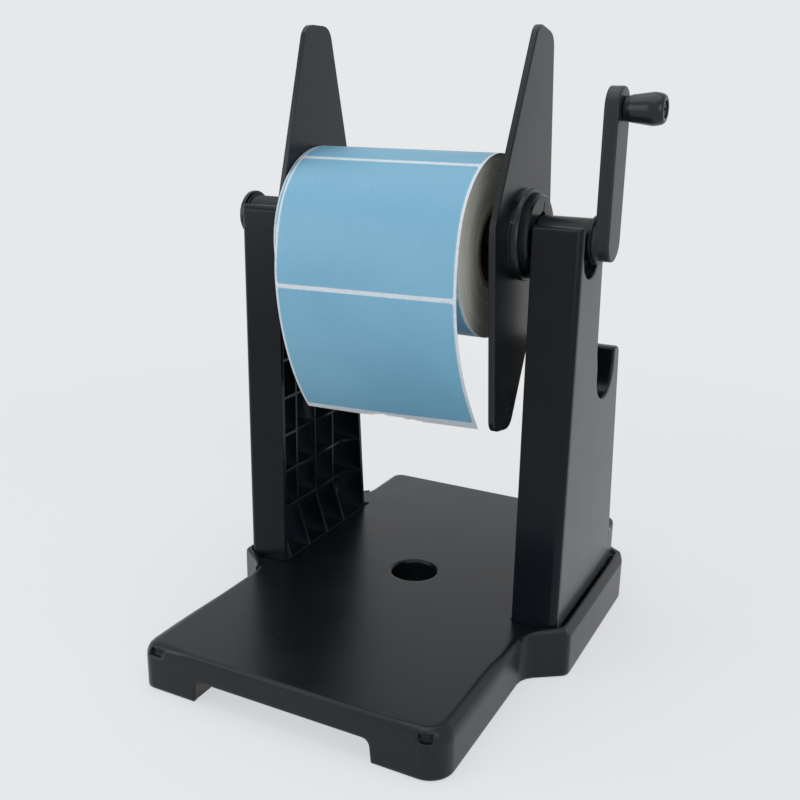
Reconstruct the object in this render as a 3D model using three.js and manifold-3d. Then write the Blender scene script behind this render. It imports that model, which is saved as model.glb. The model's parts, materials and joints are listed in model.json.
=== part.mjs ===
// Manual label rewinder: a moulded tray base, two ribbed uprights with open cradles, a cranked
// spindle with two sliding blade flanges, and a roll of labels that hangs on the spindle.
// Millimetres, +X along the spindle towards the crank, +Y to the back, +Z up, floor at z = 0.
import * as THREE from "three";
import { mergeVertices } from "three/addons/utils/BufferGeometryUtils.js";
import Module from "manifold-3d";

const wasm = await Module();
wasm.setup();

// Clearances, and how solids are laid over each other
const SEAT_GAP = 0.3; // between pieces that touch
const RUN_GAP = 0.3; // round a shaft that turns
const BITE = 0.5; // how far joined solids run into each other
const BEYOND = 1; // how far a cut starts outside the face that it opens
const WITHIN = 1; // how far under the plate's top the solids that stand below it end
const FAR = 400; // longer than the machine, for cuts that run right through
const SLACK = 0.01; // keeps two full-radius corners from meeting
const CLOSE = 0.02; // points of an outline nearer than this are one point
const FLATNESS = 0.002; // how far a point may stand off a face that drops it

// Base
const PLATE_WIDTH = 166;
const PLATE_DEPTH = 275;
const PLATE_TOP = 27;
const PLATE_CORNER = 7.5;
const PLATE_EDGE = 3.5;
const BASE_WALL = 2.5;
const FOOT_PROUD = 1;
const CENTRE_HOLE_R = 13.2;
const HOLE_EDGE = 1;
const ARCH_CENTRE = -4;
const ARCH_WIDTH = 102;
const ARCH_SLANT = 1.6; // each side leans in by this much
const ARCH_HEIGHT = 13;
const ARCH_FILLET = 4;
const ARCH_RETURN = 14; // walls that run back from the arch's sides
const BASE_RIB = 1.8;
const BASE_RIB_DEPTH = 11;
const BASE_RIB_PITCH_X = 38;
const BASE_RIB_PITCH_Y = 42;
const DIMPLE_WIDTH = 7.6;
const DIMPLE_HEIGHT = 5;
const DIMPLE_DEPTH = 4.5;
const DIMPLE_WALL = 1.6;
const DIMPLE_INSET = 9; // from the plate's side to the dimple's middle
const DIMPLE_DROP = 2.4; // from the plate's top to the dimple's

// Side wings that carry the uprights
const WING_SETBACK = 3.5; // from the upright's front to the wing's outer front corner
const WING_REAR_MARGIN = 4; // behind the upright's heel
const WING_SLANT = 14.5;
const WING_FILLET = 12;
const WING_CORNER = 6;
const GROOVE = 2.9; // between an upright and the lip beside it
const LIP_RISE = 2;
const LIP_FLAT = 0.8;
const LIP_SLOPE = 3; // width of the sloped face outside the lip
const LIP_FALL = 5.5; // its height
const LIP_EDGE = 1.6;
const LIP_RAMP = 9; // over which the lip fades into the plate
const POCKET_DEPTH = 2;
const PAD_MARGIN = 3; // of the thick floor round a pocket

// Rubber feet
const FOOT_R = 6;
const FOOT_HEIGHT = 3.4;
const FOOT_INSET = 15;
const FOOT_EDGE = 0.8;
const FOOT_BOSS_WALL = 2;

// Spindle line
const AXIS_Y = -10;
const AXIS_DROP = 7; // below the uprights' top
const BAR_R = 10.3; // to the flats of the six-sided bar
const BAR_CORNER = 0.5;
const JOURNAL_R = 8.4;
const STUB_R = 5.5;
const STUB_LENGTH = 5.8; // into the crank
const STUB_FLAT = 3.85; // from the axis to the flat that drives the crank

// Uprights
const UPRIGHT_OUTER = 96.8;
const UPRIGHT_THICK = 24.8;
const UPRIGHT_TOP = 236.5;
const UPRIGHT_WALL = 2.5;
const UPRIGHT_EDGE = 1.5;
const UPRIGHT_FRONT_EDGE = 4.2;
const HORN_FRONT = 6; // width of the head in front of its cradle
const HORN_REAR = 7.5; // and behind it
const HORN_FRONT_FILLET = 3.4;
const HORN_REAR_FILLET = 3;
const MOUTH_FRONT_FILLET = 1.8;
const MOUTH_REAR_FILLET = 2.6;
const TOP_SLOT_R = 12;
const TOP_SLOT_DROP = 18.7; // from the spindle line to the slot's floor
const SADDLE_INSET = 6;
const SADDLE_LAP = 0.2; // into the walls round the slot
const SADDLE_DROP = 4; // from the upright's top to the saddle's
const SHOULDER_REAR = 13; // where the head's rear edge meets the rear cradle
const SHOULDER_DROP = 76.5;
const SHOULDER_RISE = 8;
const SHOULDER_FILLET = 12;
const REAR_LIP_DROP = 72.5;
const REAR_LIP_Y = 56;
const REAR_LIP_FILLET = 4;
const REAR_MOUTH_FILLET = 3;
const REAR_SLOT_R = 15.2;
const REAR_SLOT_Y = 31;
const REAR_SLOT_DEPTH = 24.1;
const FOOT_REAR = 69;
const HEEL_HEIGHT = 20;
const HEEL_DEPTH = 6.5;
const HEEL_WIDTH = 14;
const HEEL_FILLET = 4;

// Lattice inside the uprights
const RIB = 1.8;
const RIB_RECESS = 8.7; // from the rim down to the ribs' free edges
const ROW_FIRST = 27.5; // above the plate
const ROW_PITCH = 23;
const COLUMN_FIRST = 7; // behind the front
const COLUMN_PITCH = 21;
const GUSSET_RUN = 9;
const GUSSET_TOP = 0.6; // below the rim
const GUSSET_FLAT = 0.8;

// Screws that hold the uprights down
const SCREW_R = 2;
const SCREW_HEAD_R = 4;
const SCREW_HEAD = 2.4;
const SCREW_LENGTH = 16;
const SCREW_POINT = 2;
const SCREW_SLOT = 1.2;
const SCREW_SLOT_DEPTH = 1.2;
const SCREW_BOSS_WALL = 2.6;
const SCREW_BOSS_TOP = 21.5; // above the plate
const SCREW_BITE_GAP = 0.25; // round the shank
const SCREW_CLEARANCE = 0.4; // in the base
const SCREW_WELL_GAP = 1; // round the head
const SCREW_INSET = 9.5; // from the upright's outer face

// Bushes on the spindle's journals
const BUSH_FLANGE_R = 11.6;
const BUSH_FLANGE = 1.4;
const BUSH_REACH = 4.6; // inwards past the uprights' rims

// Flanges
const BLADE_LENGTH = 99; // from the spindle to a tip
const BLADE_TIP = 11.3; // half width
const BLADE_MIDDLE = 40;
const BLADE_THICK = 3.2;
const BLADE_EDGE = 0.6;
const BLADE_TIP_FILLET = 8;
const BLADE_MIDDLE_FILLET = 26;
const HUB_R = 22.7;
const HUB_RIM = 4.4;
const HUB_FACE_R = 20.4;
const HUB_LENGTH = 8.6;
const HUB_EDGE = 1.2;
const HUB_SEAT = 1.2; // depth of the collar's seat in the hub
const BORE_GAP = 0.6; // on each flat
const BORE_SLIT = 1;
const BORE_SLIT_REACH = 16.4;
const RIGHT_BLADE_X = 58.4; // inner face
const RIGHT_BLADE_TURN = -10.4;

// Crank
const ARM_THICK = 6.8;
const ARM_HALF_WIDTH = 10;
const ARM_REACH = 60.8;
const ARM_EDGE = 0.8;
const COLLAR_R = 11.6;
const COLLAR = 1.5;
const KNOB_LENGTH = 18.6;
const KNOB_BASE_R = 5.6;
const KNOB_MAX_R = 7.5;
const KNOB_END_R = 5;
const KNOB_WAIST = 3; // straight part next to the arm
const KNOB_BELLY = 13.4; // from the arm to the widest part
const KNOB_RECESS = 2.6;
const PIN_R = 2.2;
const PIN_HEAD_R = 3.6;
const PIN_HEAD = 1.6;
const PIN_HEAD_EDGE = 0.5;
const PIN_HEAD_GAP = 0.5;
const PIN_SLOT = 0.9;
const PIN_BITE = 4.6;

// End cap opposite the crank
const CAP_R = 12.7;
const CAP_THICK = 2.8;
const CAP_FLOOR = 1;
const CAP_EDGE = 0.8;

// Label roll
const LABEL_LINER = 103;
const ROLL_LEFT = -56.5;
const ROLL_R = 46.3;
const CORE_BORE_R = 19;
const CORE_WALL = 2;
const SHEET = 0.4;
const TAIL_LENGTH = 106;
const TAIL_LEAN = 28; // degrees from plumb that the tail tends to
const TAIL_SETTLE = 35; // length over which it gets there
const TEAR_DROP = 6.5; // the torn end is this much lower at its right

// Worked out from the sizes above
const UPRIGHT_RIM = UPRIGHT_OUTER - UPRIGHT_THICK;
const UPRIGHT_FRONT = AXIS_Y - TOP_SLOT_R - HORN_FRONT;
const HEAD_REAR = AXIS_Y + TOP_SLOT_R + HORN_REAR;
const AXIS_Z = UPRIGHT_TOP - AXIS_DROP;
const TOP_SLOT_FLOOR = AXIS_Z - TOP_SLOT_DROP;
const SHOULDER_Z = UPRIGHT_TOP - SHOULDER_DROP;
const REAR_LIP_Z = UPRIGHT_TOP - REAR_LIP_DROP;
const REAR_SLOT_FLOOR = REAR_LIP_Z - REAR_SLOT_DEPTH;
const HEEL_REAR = FOOT_REAR + HEEL_DEPTH;
const LIP_TOP = PLATE_TOP + LIP_RISE;
const WING_HALF = UPRIGHT_OUTER + GROOVE + LIP_FLAT + LIP_SLOPE;
const WING_FRONT = UPRIGHT_FRONT + WING_SETBACK;
const WING_REAR = HEEL_REAR + WING_REAR_MARGIN;
const BASE_RIB_LOW = PLATE_TOP - BASE_WALL - BASE_RIB_DEPTH;
const POCKET_Z = PLATE_TOP - POCKET_DEPTH;
const FOOT_Z = POCKET_Z + SEAT_GAP;
const SCREW_SEAT = POCKET_Z - 2 * BASE_WALL;
const SCREW_X = UPRIGHT_OUTER - SCREW_INSET;
const SCREW_WELL_R = SCREW_HEAD_R + SCREW_WELL_GAP;
const BAR_HALF = UPRIGHT_RIM - BUSH_REACH;
const BAR_CORNER_R = BAR_R / Math.cos(Math.PI / 6) - BAR_CORNER;
const BAR_TURN = RIGHT_BLADE_TURN / 2;
const BUSH_OUTER = UPRIGHT_OUTER + SEAT_GAP;
const COLLAR_X = BUSH_OUTER + BUSH_FLANGE + SEAT_GAP;
const ARM_X = COLLAR_X + COLLAR;
const KNOB_X = ARM_X + ARM_THICK + SEAT_GAP;
const KNOB_Z = AXIS_Z + ARM_REACH;
const HUB_BORE_R = BAR_R + BORE_GAP;
const HUB_RIM_X = BLADE_THICK + HUB_RIM;
const HUB_FACE_X = BLADE_THICK + HUB_LENGTH;
const LEFT_BLADE_X = ROLL_LEFT - SEAT_GAP;
const ROLL_RIGHT = ROLL_LEFT + LABEL_LINER;
const ROLL_Z = AXIS_Z + BAR_CORNER_R + SEAT_GAP - CORE_BORE_R;
const X_SPAN_CENTRE = (KNOB_X + KNOB_LENGTH - WING_HALF) / 2;

// The lattice's rows stop below the top cradle, its columns before the rear lip, and a screw
// stands halfway between the outer columns at either end.
const rowHeights = [];
for (let z = PLATE_TOP + ROW_FIRST; z < TOP_SLOT_FLOOR; z += ROW_PITCH) rowHeights.push(z);
const columnDepths = [];
for (let y = UPRIGHT_FRONT + COLUMN_FIRST; y < REAR_LIP_Y; y += COLUMN_PITCH) columnDepths.push(y);
const screwDepths = [columnDepths[0], columnDepths[columnDepths.length - 1]].map((y) => y + COLUMN_PITCH / 2);

// Materials
function plastic(color, roughness = 0.45) {
  return new THREE.MeshStandardMaterial({ color, roughness, metalness: 0 });
}
const BLACK = plastic(0x2b2f32);
const BLACK_SATIN = plastic(0x33383b, 0.38);
const BLACK_HUB = plastic(0x1f2224, 0.4);
const RUBBER = plastic(0x161718, 0.9);
const STEEL = new THREE.MeshStandardMaterial({ color: 0x9aa0a4, roughness: 0.35, metalness: 1 });
const LABEL_BLUE = plastic(0x76a8c8, 0.55);
const LINER = plastic(0xcfd9e2, 0.6);
const CARD = plastic(0xb09a78, 0.85);

// A closed geometry as a solid that can be joined and cut.
function solid(geometry) {
  const bare = geometry.clone();
  bare.deleteAttribute("normal");
  bare.deleteAttribute("uv");
  const merged = mergeVertices(bare, 1e-4);
  return new wasm.Manifold(
    new wasm.Mesh({
      numProp: 3,
      vertProperties: new Float32Array(merged.attributes.position.array),
      triVerts: new Uint32Array(merged.index.array),
    }),
  );
}

// The drawable geometry of a solid, with needless points in its flat faces left out.
function geometryOf(made) {
  const m = made.asOriginal().simplify(FLATNESS).getMesh();
  const geometry = new THREE.BufferGeometry();
  geometry.setAttribute("position", new THREE.BufferAttribute(m.vertProperties, 3));
  geometry.setIndex(new THREE.BufferAttribute(m.triVerts, 1));
  const faceted = geometry.toNonIndexed();
  faceted.computeVertexNormals();
  return faceted;
}

const rewinder = new THREE.Group();
rewinder.name = "label_rewinder";

function addPiece(name, made, material) {
  const piece = new THREE.Mesh(geometryOf(made), material);
  piece.name = name;
  rewinder.add(piece);
  return piece;
}

// An outline from corners [u, v, radius]; each corner with a radius becomes an arc.
function filleted(corners, stepsPerQuarter = 5) {
  const points = [];
  corners.forEach(([u, v, radius = 0], i) => {
    const here = new THREE.Vector2(u, v);
    const before = corners[(i + corners.length - 1) % corners.length];
    const after = corners[(i + 1) % corners.length];
    const back = new THREE.Vector2(before[0], before[1]).sub(here).normalize();
    const on = new THREE.Vector2(after[0], after[1]).sub(here).normalize();
    const angle = Math.acos(THREE.MathUtils.clamp(back.dot(on), -1, 1));
    if (radius <= 0 || angle > Math.PI - 1e-3) {
      points.push(here);
      return;
    }
    const reach = radius / Math.tan(angle / 2);
    const inward = back.clone().add(on).normalize();
    const centre = here.clone().addScaledVector(inward, radius / Math.sin(angle / 2));
    const first = here.clone().addScaledVector(back, reach).sub(centre);
    const turn = Math.PI - angle;
    const sign = Math.sign(back.x * on.y - back.y * on.x);
    const steps = Math.max(1, Math.round((stepsPerQuarter * turn) / (Math.PI / 2)));
    for (let k = 0; k <= steps; k++) {
      const p = first.clone().rotateAround(new THREE.Vector2(), (-sign * turn * k) / steps);
      points.push(p.add(centre));
    }
  });
  return points;
}

// The same outline, moved inwards by a distance; the outline runs anticlockwise.
function inset(points, distance) {
  return points.map((p, i) => {
    const before = points[(i + points.length - 1) % points.length];
    const after = points[(i + 1) % points.length];
    const a = p.clone().sub(before).normalize();
    const b = after.clone().sub(p).normalize();
    const across = new THREE.Vector2(-a.y - b.y, a.x + b.x);
    return p.clone().addScaledVector(across, distance / (1 + a.dot(b)));
  });
}

// Corners moved inwards by a distance, with radii that stay concentric.
function shrunk(corners, distance) {
  const moved = inset(corners.map(([u, v]) => new THREE.Vector2(u, v)), distance);
  return corners.map(([u, v, radius = 0], i) => {
    const before = corners[(i + corners.length - 1) % corners.length];
    const after = corners[(i + 1) % corners.length];
    const turn = (u - before[0]) * (after[1] - v) - (v - before[1]) * (after[0] - u);
    const grown = turn > 0 ? Math.max(0, radius - distance) : radius + distance;
    return [moved[i].x, moved[i].y, radius > 0 ? grown : 0];
  });
}

function anticlockwise(points) {
  return THREE.ShapeUtils.area(points) < 0 ? points.slice().reverse() : points;
}

function withoutRepeats(points) {
  return points.filter((p, i) => p.distanceTo(points[(i + 1) % points.length]) > CLOSE);
}

// Copies of an outline in X and Y at levels [z, inset], joined by walls and closed at both ends.
function stacked(points, levels) {
  const outline = withoutRepeats(anticlockwise(points));
  const n = outline.length;
  const rings = levels.map(([z, distance]) => inset(outline, distance).map((p) => [p.x, p.y, z]));
  const index = [];
  for (let r = 0; r + 1 < rings.length; r++) {
    for (let i = 0; i < n; i++) {
      const j = (i + 1) % n;
      const low = r * n;
      const high = low + n;
      index.push(low + i, low + j, high + j, low + i, high + j, high + i);
    }
  }
  const last = (rings.length - 1) * n;
  const flat = (ring) => ring.map(([x, y]) => new THREE.Vector2(x, y));
  for (const [a, b, c] of THREE.ShapeUtils.triangulateShape(flat(rings[0]), [])) index.push(a, c, b);
  for (const [a, b, c] of THREE.ShapeUtils.triangulateShape(flat(rings[rings.length - 1]), [])) {
    index.push(last + a, last + b, last + c);
  }
  const geometry = new THREE.BufferGeometry();
  geometry.setAttribute("position", new THREE.Float32BufferAttribute(rings.flat(2), 3));
  geometry.setIndex(index);
  return solid(geometry);
}

// An outline in X and Y, raised from z0 to z1; edge rounds the rim at the top.
function raised(points, z0, z1, edge = 0, edgeSteps = 3) {
  const levels = [[z0, 0]];
  for (let i = 0; i <= edgeSteps && edge > 0; i++) {
    const a = (i / edgeSteps) * (Math.PI / 2);
    levels.push([z1 - edge * (1 - Math.sin(a)), edge * (1 - Math.cos(a))]);
  }
  return stacked(points, edge > 0 ? levels : [...levels, [z1, 0]]);
}

// An outline in Y and Z, carried along X from x0 to x1; edge rounds the rim at the x1 end.
function carried(points, x0, x1, edge = 0, edgeSteps = 3) {
  return raised(points, 0, x1 - x0, edge, edgeSteps).rotate([90, 0, 90]).translate([x0, 0, 0]);
}

// An outline in X and Z, run along Y from y0 to y1.
function runBack(points, y0, y1) {
  const lying = points.map((p) => new THREE.Vector2(p.x, -p.y));
  return raised(lying, y0, y1).rotate([-90, 0, 0]);
}

function blockBetween(low, high) {
  const size = high.map((v, i) => v - low[i]);
  const box = new THREE.BoxGeometry(...size);
  return solid(box.translate(...low.map((v, i) => v + size[i] / 2)));
}

function lathed(points, segments, placed) {
  const lathe = placed(new THREE.LatheGeometry(points, segments));
  const made = solid(lathe);
  return made.volume() < 0 ? solid(flipped(lathe)) : made;
}

function flipped(geometry) {
  const copy = geometry.clone();
  const index = copy.index.array;
  for (let i = 0; i < index.length; i += 3) [index[i + 1], index[i + 2]] = [index[i + 2], index[i + 1]];
  return copy;
}

// A profile of [x, radius] turned about the line through (y, z) along X.
function turned(profile, y, z, segments = 40) {
  const points = profile.map(([x, r]) => new THREE.Vector2(r, x));
  return lathed(points, segments, (lathe) => lathe.rotateZ(-Math.PI / 2)).translate([0, y, z]);
}

// A profile of [radius, z] turned about the upright line through (x, y).
function spun(profile, x, y, segments = 16) {
  const points = profile.map(([r, z]) => new THREE.Vector2(r, z));
  return lathed(points, segments, (lathe) => lathe.rotateX(Math.PI / 2)).translate([x, y, 0]);
}

// A round pin along X or upright, from one end to the other.
const rod = (r, x0, x1, y, z, segments) => turned([[x0, 0], [x0, r], [x1, r], [x1, 0]], y, z, segments);
const post = (r, z0, z1, x, y, segments) => spun([[0, z0], [r, z0], [r, z1], [0, z1]], x, y, segments);

function join(first, ...others) {
  return others.reduce((sum, one) => sum.add(one), first);
}

function cut(first, ...others) {
  return others.reduce((left, one) => left.subtract(one), first);
}

const mirrored = (made) => made.mirror([1, 0, 0]);
const bothSides = (made) => [made, mirrored(made)];
const point = (u, v) => new THREE.Vector2(u, v);

// Upright outlines, in Y and Z

function uprightCorners() {
  const slotFront = AXIS_Y - TOP_SLOT_R;
  const slotRear = AXIS_Y + TOP_SLOT_R;
  const rearFront = REAR_SLOT_Y - REAR_SLOT_R;
  const rearRear = REAR_SLOT_Y + REAR_SLOT_R;
  return [
    [UPRIGHT_FRONT, FOOT_Z],
    [FOOT_REAR, FOOT_Z],
    [REAR_LIP_Y, REAR_LIP_Z, REAR_LIP_FILLET],
    [rearRear, REAR_LIP_Z, REAR_MOUTH_FILLET],
    [rearRear, REAR_SLOT_FLOOR, REAR_SLOT_R - SLACK],
    [rearFront, REAR_SLOT_FLOOR, REAR_SLOT_R - SLACK],
    [rearFront, SHOULDER_Z, SHOULDER_FILLET],
    [SHOULDER_REAR, SHOULDER_Z + SHOULDER_RISE, SHOULDER_FILLET],
    [HEAD_REAR, UPRIGHT_TOP, HORN_REAR_FILLET],
    [slotRear, UPRIGHT_TOP, MOUTH_REAR_FILLET],
    [slotRear, TOP_SLOT_FLOOR, TOP_SLOT_R - SLACK],
    [slotFront, TOP_SLOT_FLOOR, TOP_SLOT_R - SLACK],
    [slotFront, UPRIGHT_TOP, MOUTH_FRONT_FILLET],
    [UPRIGHT_FRONT, UPRIGHT_TOP, HORN_FRONT_FILLET],
  ];
}

// The saddle that the bush rests in: it fills the slot's floor up to a half-round seat.
function saddle() {
  const reach = TOP_SLOT_R + SADDLE_LAP;
  const low = TOP_SLOT_FLOOR - SADDLE_LAP;
  const body = blockBetween(
    [UPRIGHT_RIM, AXIS_Y - reach, low],
    [UPRIGHT_OUTER - SADDLE_INSET, AXIS_Y + reach, UPRIGHT_TOP - SADDLE_DROP],
  );
  const seatR = BAR_R + SEAT_GAP;
  const seat = filleted([
    [AXIS_Y - seatR, AXIS_Z - seatR, seatR - SLACK],
    [AXIS_Y + seatR, AXIS_Z - seatR, seatR - SLACK],
    [AXIS_Y + seatR, UPRIGHT_TOP],
    [AXIS_Y - seatR, UPRIGHT_TOP],
  ]);
  return cut(body, carried(seat, UPRIGHT_RIM - BEYOND, UPRIGHT_OUTER));
}

function latticeRibs() {
  const floorX = UPRIGHT_OUTER - UPRIGHT_WALL / 2;
  const edgeX = UPRIGHT_RIM + RIB_RECESS;
  const rows = rowHeights.flatMap((z) => [
    blockBetween([edgeX, UPRIGHT_FRONT, z - RIB / 2], [floorX, FOOT_REAR, z + RIB / 2]),
    rowGusset(z, UPRIGHT_FRONT, 1),
    rowGusset(z, rearWallY(z), -1),
  ]);
  const columns = columnDepths.flatMap((y) => [
    blockBetween([edgeX, y - RIB / 2, FOOT_Z], [floorX, y + RIB / 2, UPRIGHT_TOP]),
    columnGusset(y),
  ]);
  return join(...rows, ...columns);
}

// Where the upright's rear wall stands at a height.
function rearWallY(z) {
  if (z > SHOULDER_Z) {
    const up = (UPRIGHT_TOP - z) / (UPRIGHT_TOP - SHOULDER_Z);
    return HEAD_REAR + up * (SHOULDER_REAR - HEAD_REAR);
  }
  const up = (z - FOOT_Z) / (REAR_LIP_Z - FOOT_Z);
  return FOOT_REAR + up * (REAR_LIP_Y - FOOT_REAR);
}

// A row's end, rising from its free edge to the rim at a wall; side is 1 in front, -1 behind.
function rowGusset(z, wallY, side) {
  const edgeX = UPRIGHT_RIM + RIB_RECESS + BITE;
  const topX = UPRIGHT_RIM + GUSSET_TOP;
  const inside = wallY + side * UPRIGHT_WALL;
  return raised(
    [point(edgeX, inside + side * GUSSET_RUN), point(edgeX, wallY), point(topX, wallY),
      point(topX, inside + side * GUSSET_FLAT)],
    z - RIB / 2,
    z + RIB / 2,
  );
}

// A column's lower end, rising to the rim at the bottom wall.
function columnGusset(y) {
  const edgeX = UPRIGHT_RIM + RIB_RECESS + BITE;
  const topX = UPRIGHT_RIM + GUSSET_TOP;
  const inside = FOOT_Z + UPRIGHT_WALL;
  return runBack(
    [point(edgeX, FOOT_Z), point(edgeX, rowHeights[0]), point(topX, inside + GUSSET_FLAT),
      point(topX, FOOT_Z)],
    y - RIB / 2,
    y + RIB / 2,
  );
}

function screwBosses() {
  const r = SCREW_R + SCREW_BOSS_WALL;
  return screwDepths.map((y) => post(r, FOOT_Z, PLATE_TOP + SCREW_BOSS_TOP, SCREW_X, y, 16));
}

function screwHoles() {
  const top = FOOT_Z + SCREW_LENGTH + SCREW_POINT;
  return screwDepths.map((y) => post(SCREW_R + SCREW_BITE_GAP, 0, top, SCREW_X, y, 12));
}

function heel() {
  const top = FOOT_Z + HEEL_HEIGHT;
  const outline = filleted([
    [FOOT_REAR - HEEL_FILLET, FOOT_Z],
    [HEEL_REAR, FOOT_Z],
    [HEEL_REAR, top, HEEL_FILLET],
    [FOOT_REAR - HEEL_FILLET, top + HEEL_FILLET],
  ]);
  return carried(outline, UPRIGHT_OUTER - HEEL_WIDTH, UPRIGHT_OUTER, UPRIGHT_EDGE, 2);
}

// The upright on the crank's side; the other one is its mirror image.
function upright() {
  const corners = uprightCorners();
  const shell = carried(filleted(corners), UPRIGHT_RIM, UPRIGHT_OUTER, UPRIGHT_EDGE, 2);
  const hollow = carried(
    filleted(shrunk(corners, UPRIGHT_WALL)),
    UPRIGHT_RIM - BEYOND,
    UPRIGHT_OUTER - UPRIGHT_WALL,
  );
  const head = blockBetween(
    [UPRIGHT_RIM - BEYOND, UPRIGHT_FRONT, TOP_SLOT_FLOOR],
    [UPRIGHT_OUTER, REAR_LIP_Y, UPRIGHT_TOP],
  );
  const midWall = carried(
    filleted(shrunk(corners, UPRIGHT_WALL / 2)),
    UPRIGHT_RIM,
    UPRIGHT_OUTER - UPRIGHT_WALL / 2,
  );
  const inside = join(latticeRibs(), ...screwBosses()).intersect(midWall);
  const plan = raised(
    filleted([
      [UPRIGHT_RIM - BEYOND, UPRIGHT_FRONT],
      [UPRIGHT_OUTER, UPRIGHT_FRONT, UPRIGHT_FRONT_EDGE],
      [UPRIGHT_OUTER, FAR],
      [UPRIGHT_RIM - BEYOND, FAR],
    ]),
    0,
    FAR,
  );
  const whole = join(cut(shell, cut(hollow, head)), inside, saddle(), heel()).intersect(plan);
  return cut(whole, ...screwHoles());
}

// Base

function plateCorners() {
  const w = PLATE_WIDTH / 2;
  const d = PLATE_DEPTH / 2;
  return [
    [-w, -d, PLATE_CORNER],
    [w, -d, PLATE_CORNER],
    [w, d, PLATE_CORNER],
    [-w, d, PLATE_CORNER],
  ];
}

// The plate with both wings in one outline.
function baseCorners() {
  const w = PLATE_WIDTH / 2;
  const d = PLATE_DEPTH / 2;
  const right = [
    [w, -d, PLATE_CORNER],
    [w, WING_FRONT - WING_SLANT, WING_FILLET],
    [WING_HALF, WING_FRONT, WING_CORNER],
    [WING_HALF, WING_REAR, WING_CORNER],
    [w, WING_REAR + WING_SLANT, WING_FILLET],
    [w, d, PLATE_CORNER],
  ];
  const left = right.map(([x, y, r]) => [-x, y, r]).reverse();
  return [...right, ...left];
}

// The raised lip round a wing, which fades out towards the plate.
function wingLip(outline) {
  const outer = raised(outline, PLATE_TOP - PLATE_EDGE, LIP_TOP, LIP_EDGE);
  const within = inset(withoutRepeats(outline), LIP_SLOPE + LIP_FLAT);
  const inner = raised(within, PLATE_TOP - 2 * PLATE_EDGE, FAR);
  const w = PLATE_WIDTH / 2;
  const wing = blockBetween([w + BITE, -FAR, 0], [FAR, FAR, FAR]);
  const above = [
    point(w - BEYOND, PLATE_TOP - BITE),
    point(w + LIP_RAMP, LIP_TOP),
    point(w + LIP_RAMP, FAR),
    point(w - BEYOND, FAR),
  ];
  return cut(outer, inner, runBack(above, -FAR, FAR)).intersect(wing);
}

// What the sloped face outside the lip takes away.
function wingSlope() {
  const outside = [
    point(WING_HALF, LIP_TOP - LIP_FALL),
    point(WING_HALF - LIP_SLOPE, LIP_TOP),
    point(WING_HALF - LIP_SLOPE, FAR),
    point(FAR, FAR),
    point(FAR, LIP_TOP - LIP_FALL),
  ];
  return runBack(outside, -FAR, FAR);
}

// The shallow pocket that an upright stands in, with a groove along its outer side.
function uprightPocket() {
  const inner = UPRIGHT_RIM - SEAT_GAP;
  const outer = UPRIGHT_OUTER + GROOVE;
  const front = UPRIGHT_FRONT - SEAT_GAP;
  const rear = HEEL_REAR + SEAT_GAP;
  const outline = [[inner, front], [outer, front, UPRIGHT_FRONT_EDGE + GROOVE], [outer, rear], [inner, rear]];
  return raised(filleted(outline), POCKET_Z, FAR);
}

// The thick floor under a pocket.
function uprightPad() {
  return blockBetween(
    [UPRIGHT_RIM - PAD_MARGIN, UPRIGHT_FRONT - PAD_MARGIN, POCKET_Z - BASE_WALL],
    [FAR, HEEL_REAR + PAD_MARGIN, PLATE_TOP - WITHIN],
  );
}

function archSides() {
  return [ARCH_CENTRE - ARCH_WIDTH / 2, ARCH_CENTRE + ARCH_WIDTH / 2];
}

// The low arch through the front skirt or the rear one.
function archCut(side) {
  const [left, right] = archSides();
  const skirt = (side * PLATE_DEPTH) / 2;
  const corners = [
    [left, -BEYOND],
    [right, -BEYOND],
    [right - ARCH_SLANT, ARCH_HEIGHT, ARCH_FILLET],
    [left + ARCH_SLANT, ARCH_HEIGHT, ARCH_FILLET],
  ];
  return runBack(filleted(corners), skirt - 2 * BASE_WALL, skirt + 2 * BASE_WALL);
}

// Walls that run back from an arch's sides.
function archWalls(side) {
  const [left, right] = archSides();
  const ends = [0, ARCH_RETURN].map((depth) => side * (PLATE_DEPTH / 2 - depth)).sort((a, b) => a - b);
  return [left - BASE_WALL, right].map((x) =>
    blockBetween([x, ends[0], FOOT_PROUD], [x + BASE_WALL, ends[1], PLATE_TOP - WITHIN]),
  );
}

// Ribs under the plate, in both directions, out from its middle.
function baseRibs() {
  const high = PLATE_TOP - BASE_WALL / 2;
  const w = PLATE_WIDTH / 2;
  const d = PLATE_DEPTH / 2;
  const ribs = [];
  for (const side of [-1, 1]) {
    for (let out = BASE_RIB_PITCH_X / 2; out < w - FOOT_INSET; out += BASE_RIB_PITCH_X) {
      const x = side * out;
      ribs.push(blockBetween([x - BASE_RIB / 2, -d, BASE_RIB_LOW], [x + BASE_RIB / 2, d, high]));
    }
    for (let out = BASE_RIB_PITCH_Y / 2; out < d - FOOT_INSET; out += BASE_RIB_PITCH_Y) {
      const y = side * out;
      ribs.push(blockBetween([-w, y - BASE_RIB / 2, BASE_RIB_LOW], [w, y + BASE_RIB / 2, high]));
    }
  }
  return ribs;
}

function footPlaces() {
  const x = PLATE_WIDTH / 2 - FOOT_INSET;
  const y = PLATE_DEPTH / 2 - FOOT_INSET;
  return { front_left: [-x, -y], front_right: [x, -y], rear_left: [-x, y], rear_right: [x, y] };
}

function holeSleeve() {
  return post(CENTRE_HOLE_R + BASE_WALL, BASE_RIB_LOW, PLATE_TOP - WITHIN, 0, 0, 32);
}

function centreHole() {
  const r = CENTRE_HOLE_R;
  const wide = r + HOLE_EDGE;
  const rim = PLATE_TOP - HOLE_EDGE;
  return spun([[0, 0], [r, 0], [r, rim], [wide, PLATE_TOP], [wide, LIP_TOP], [0, LIP_TOP]], 0, 0, 40);
}

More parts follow.
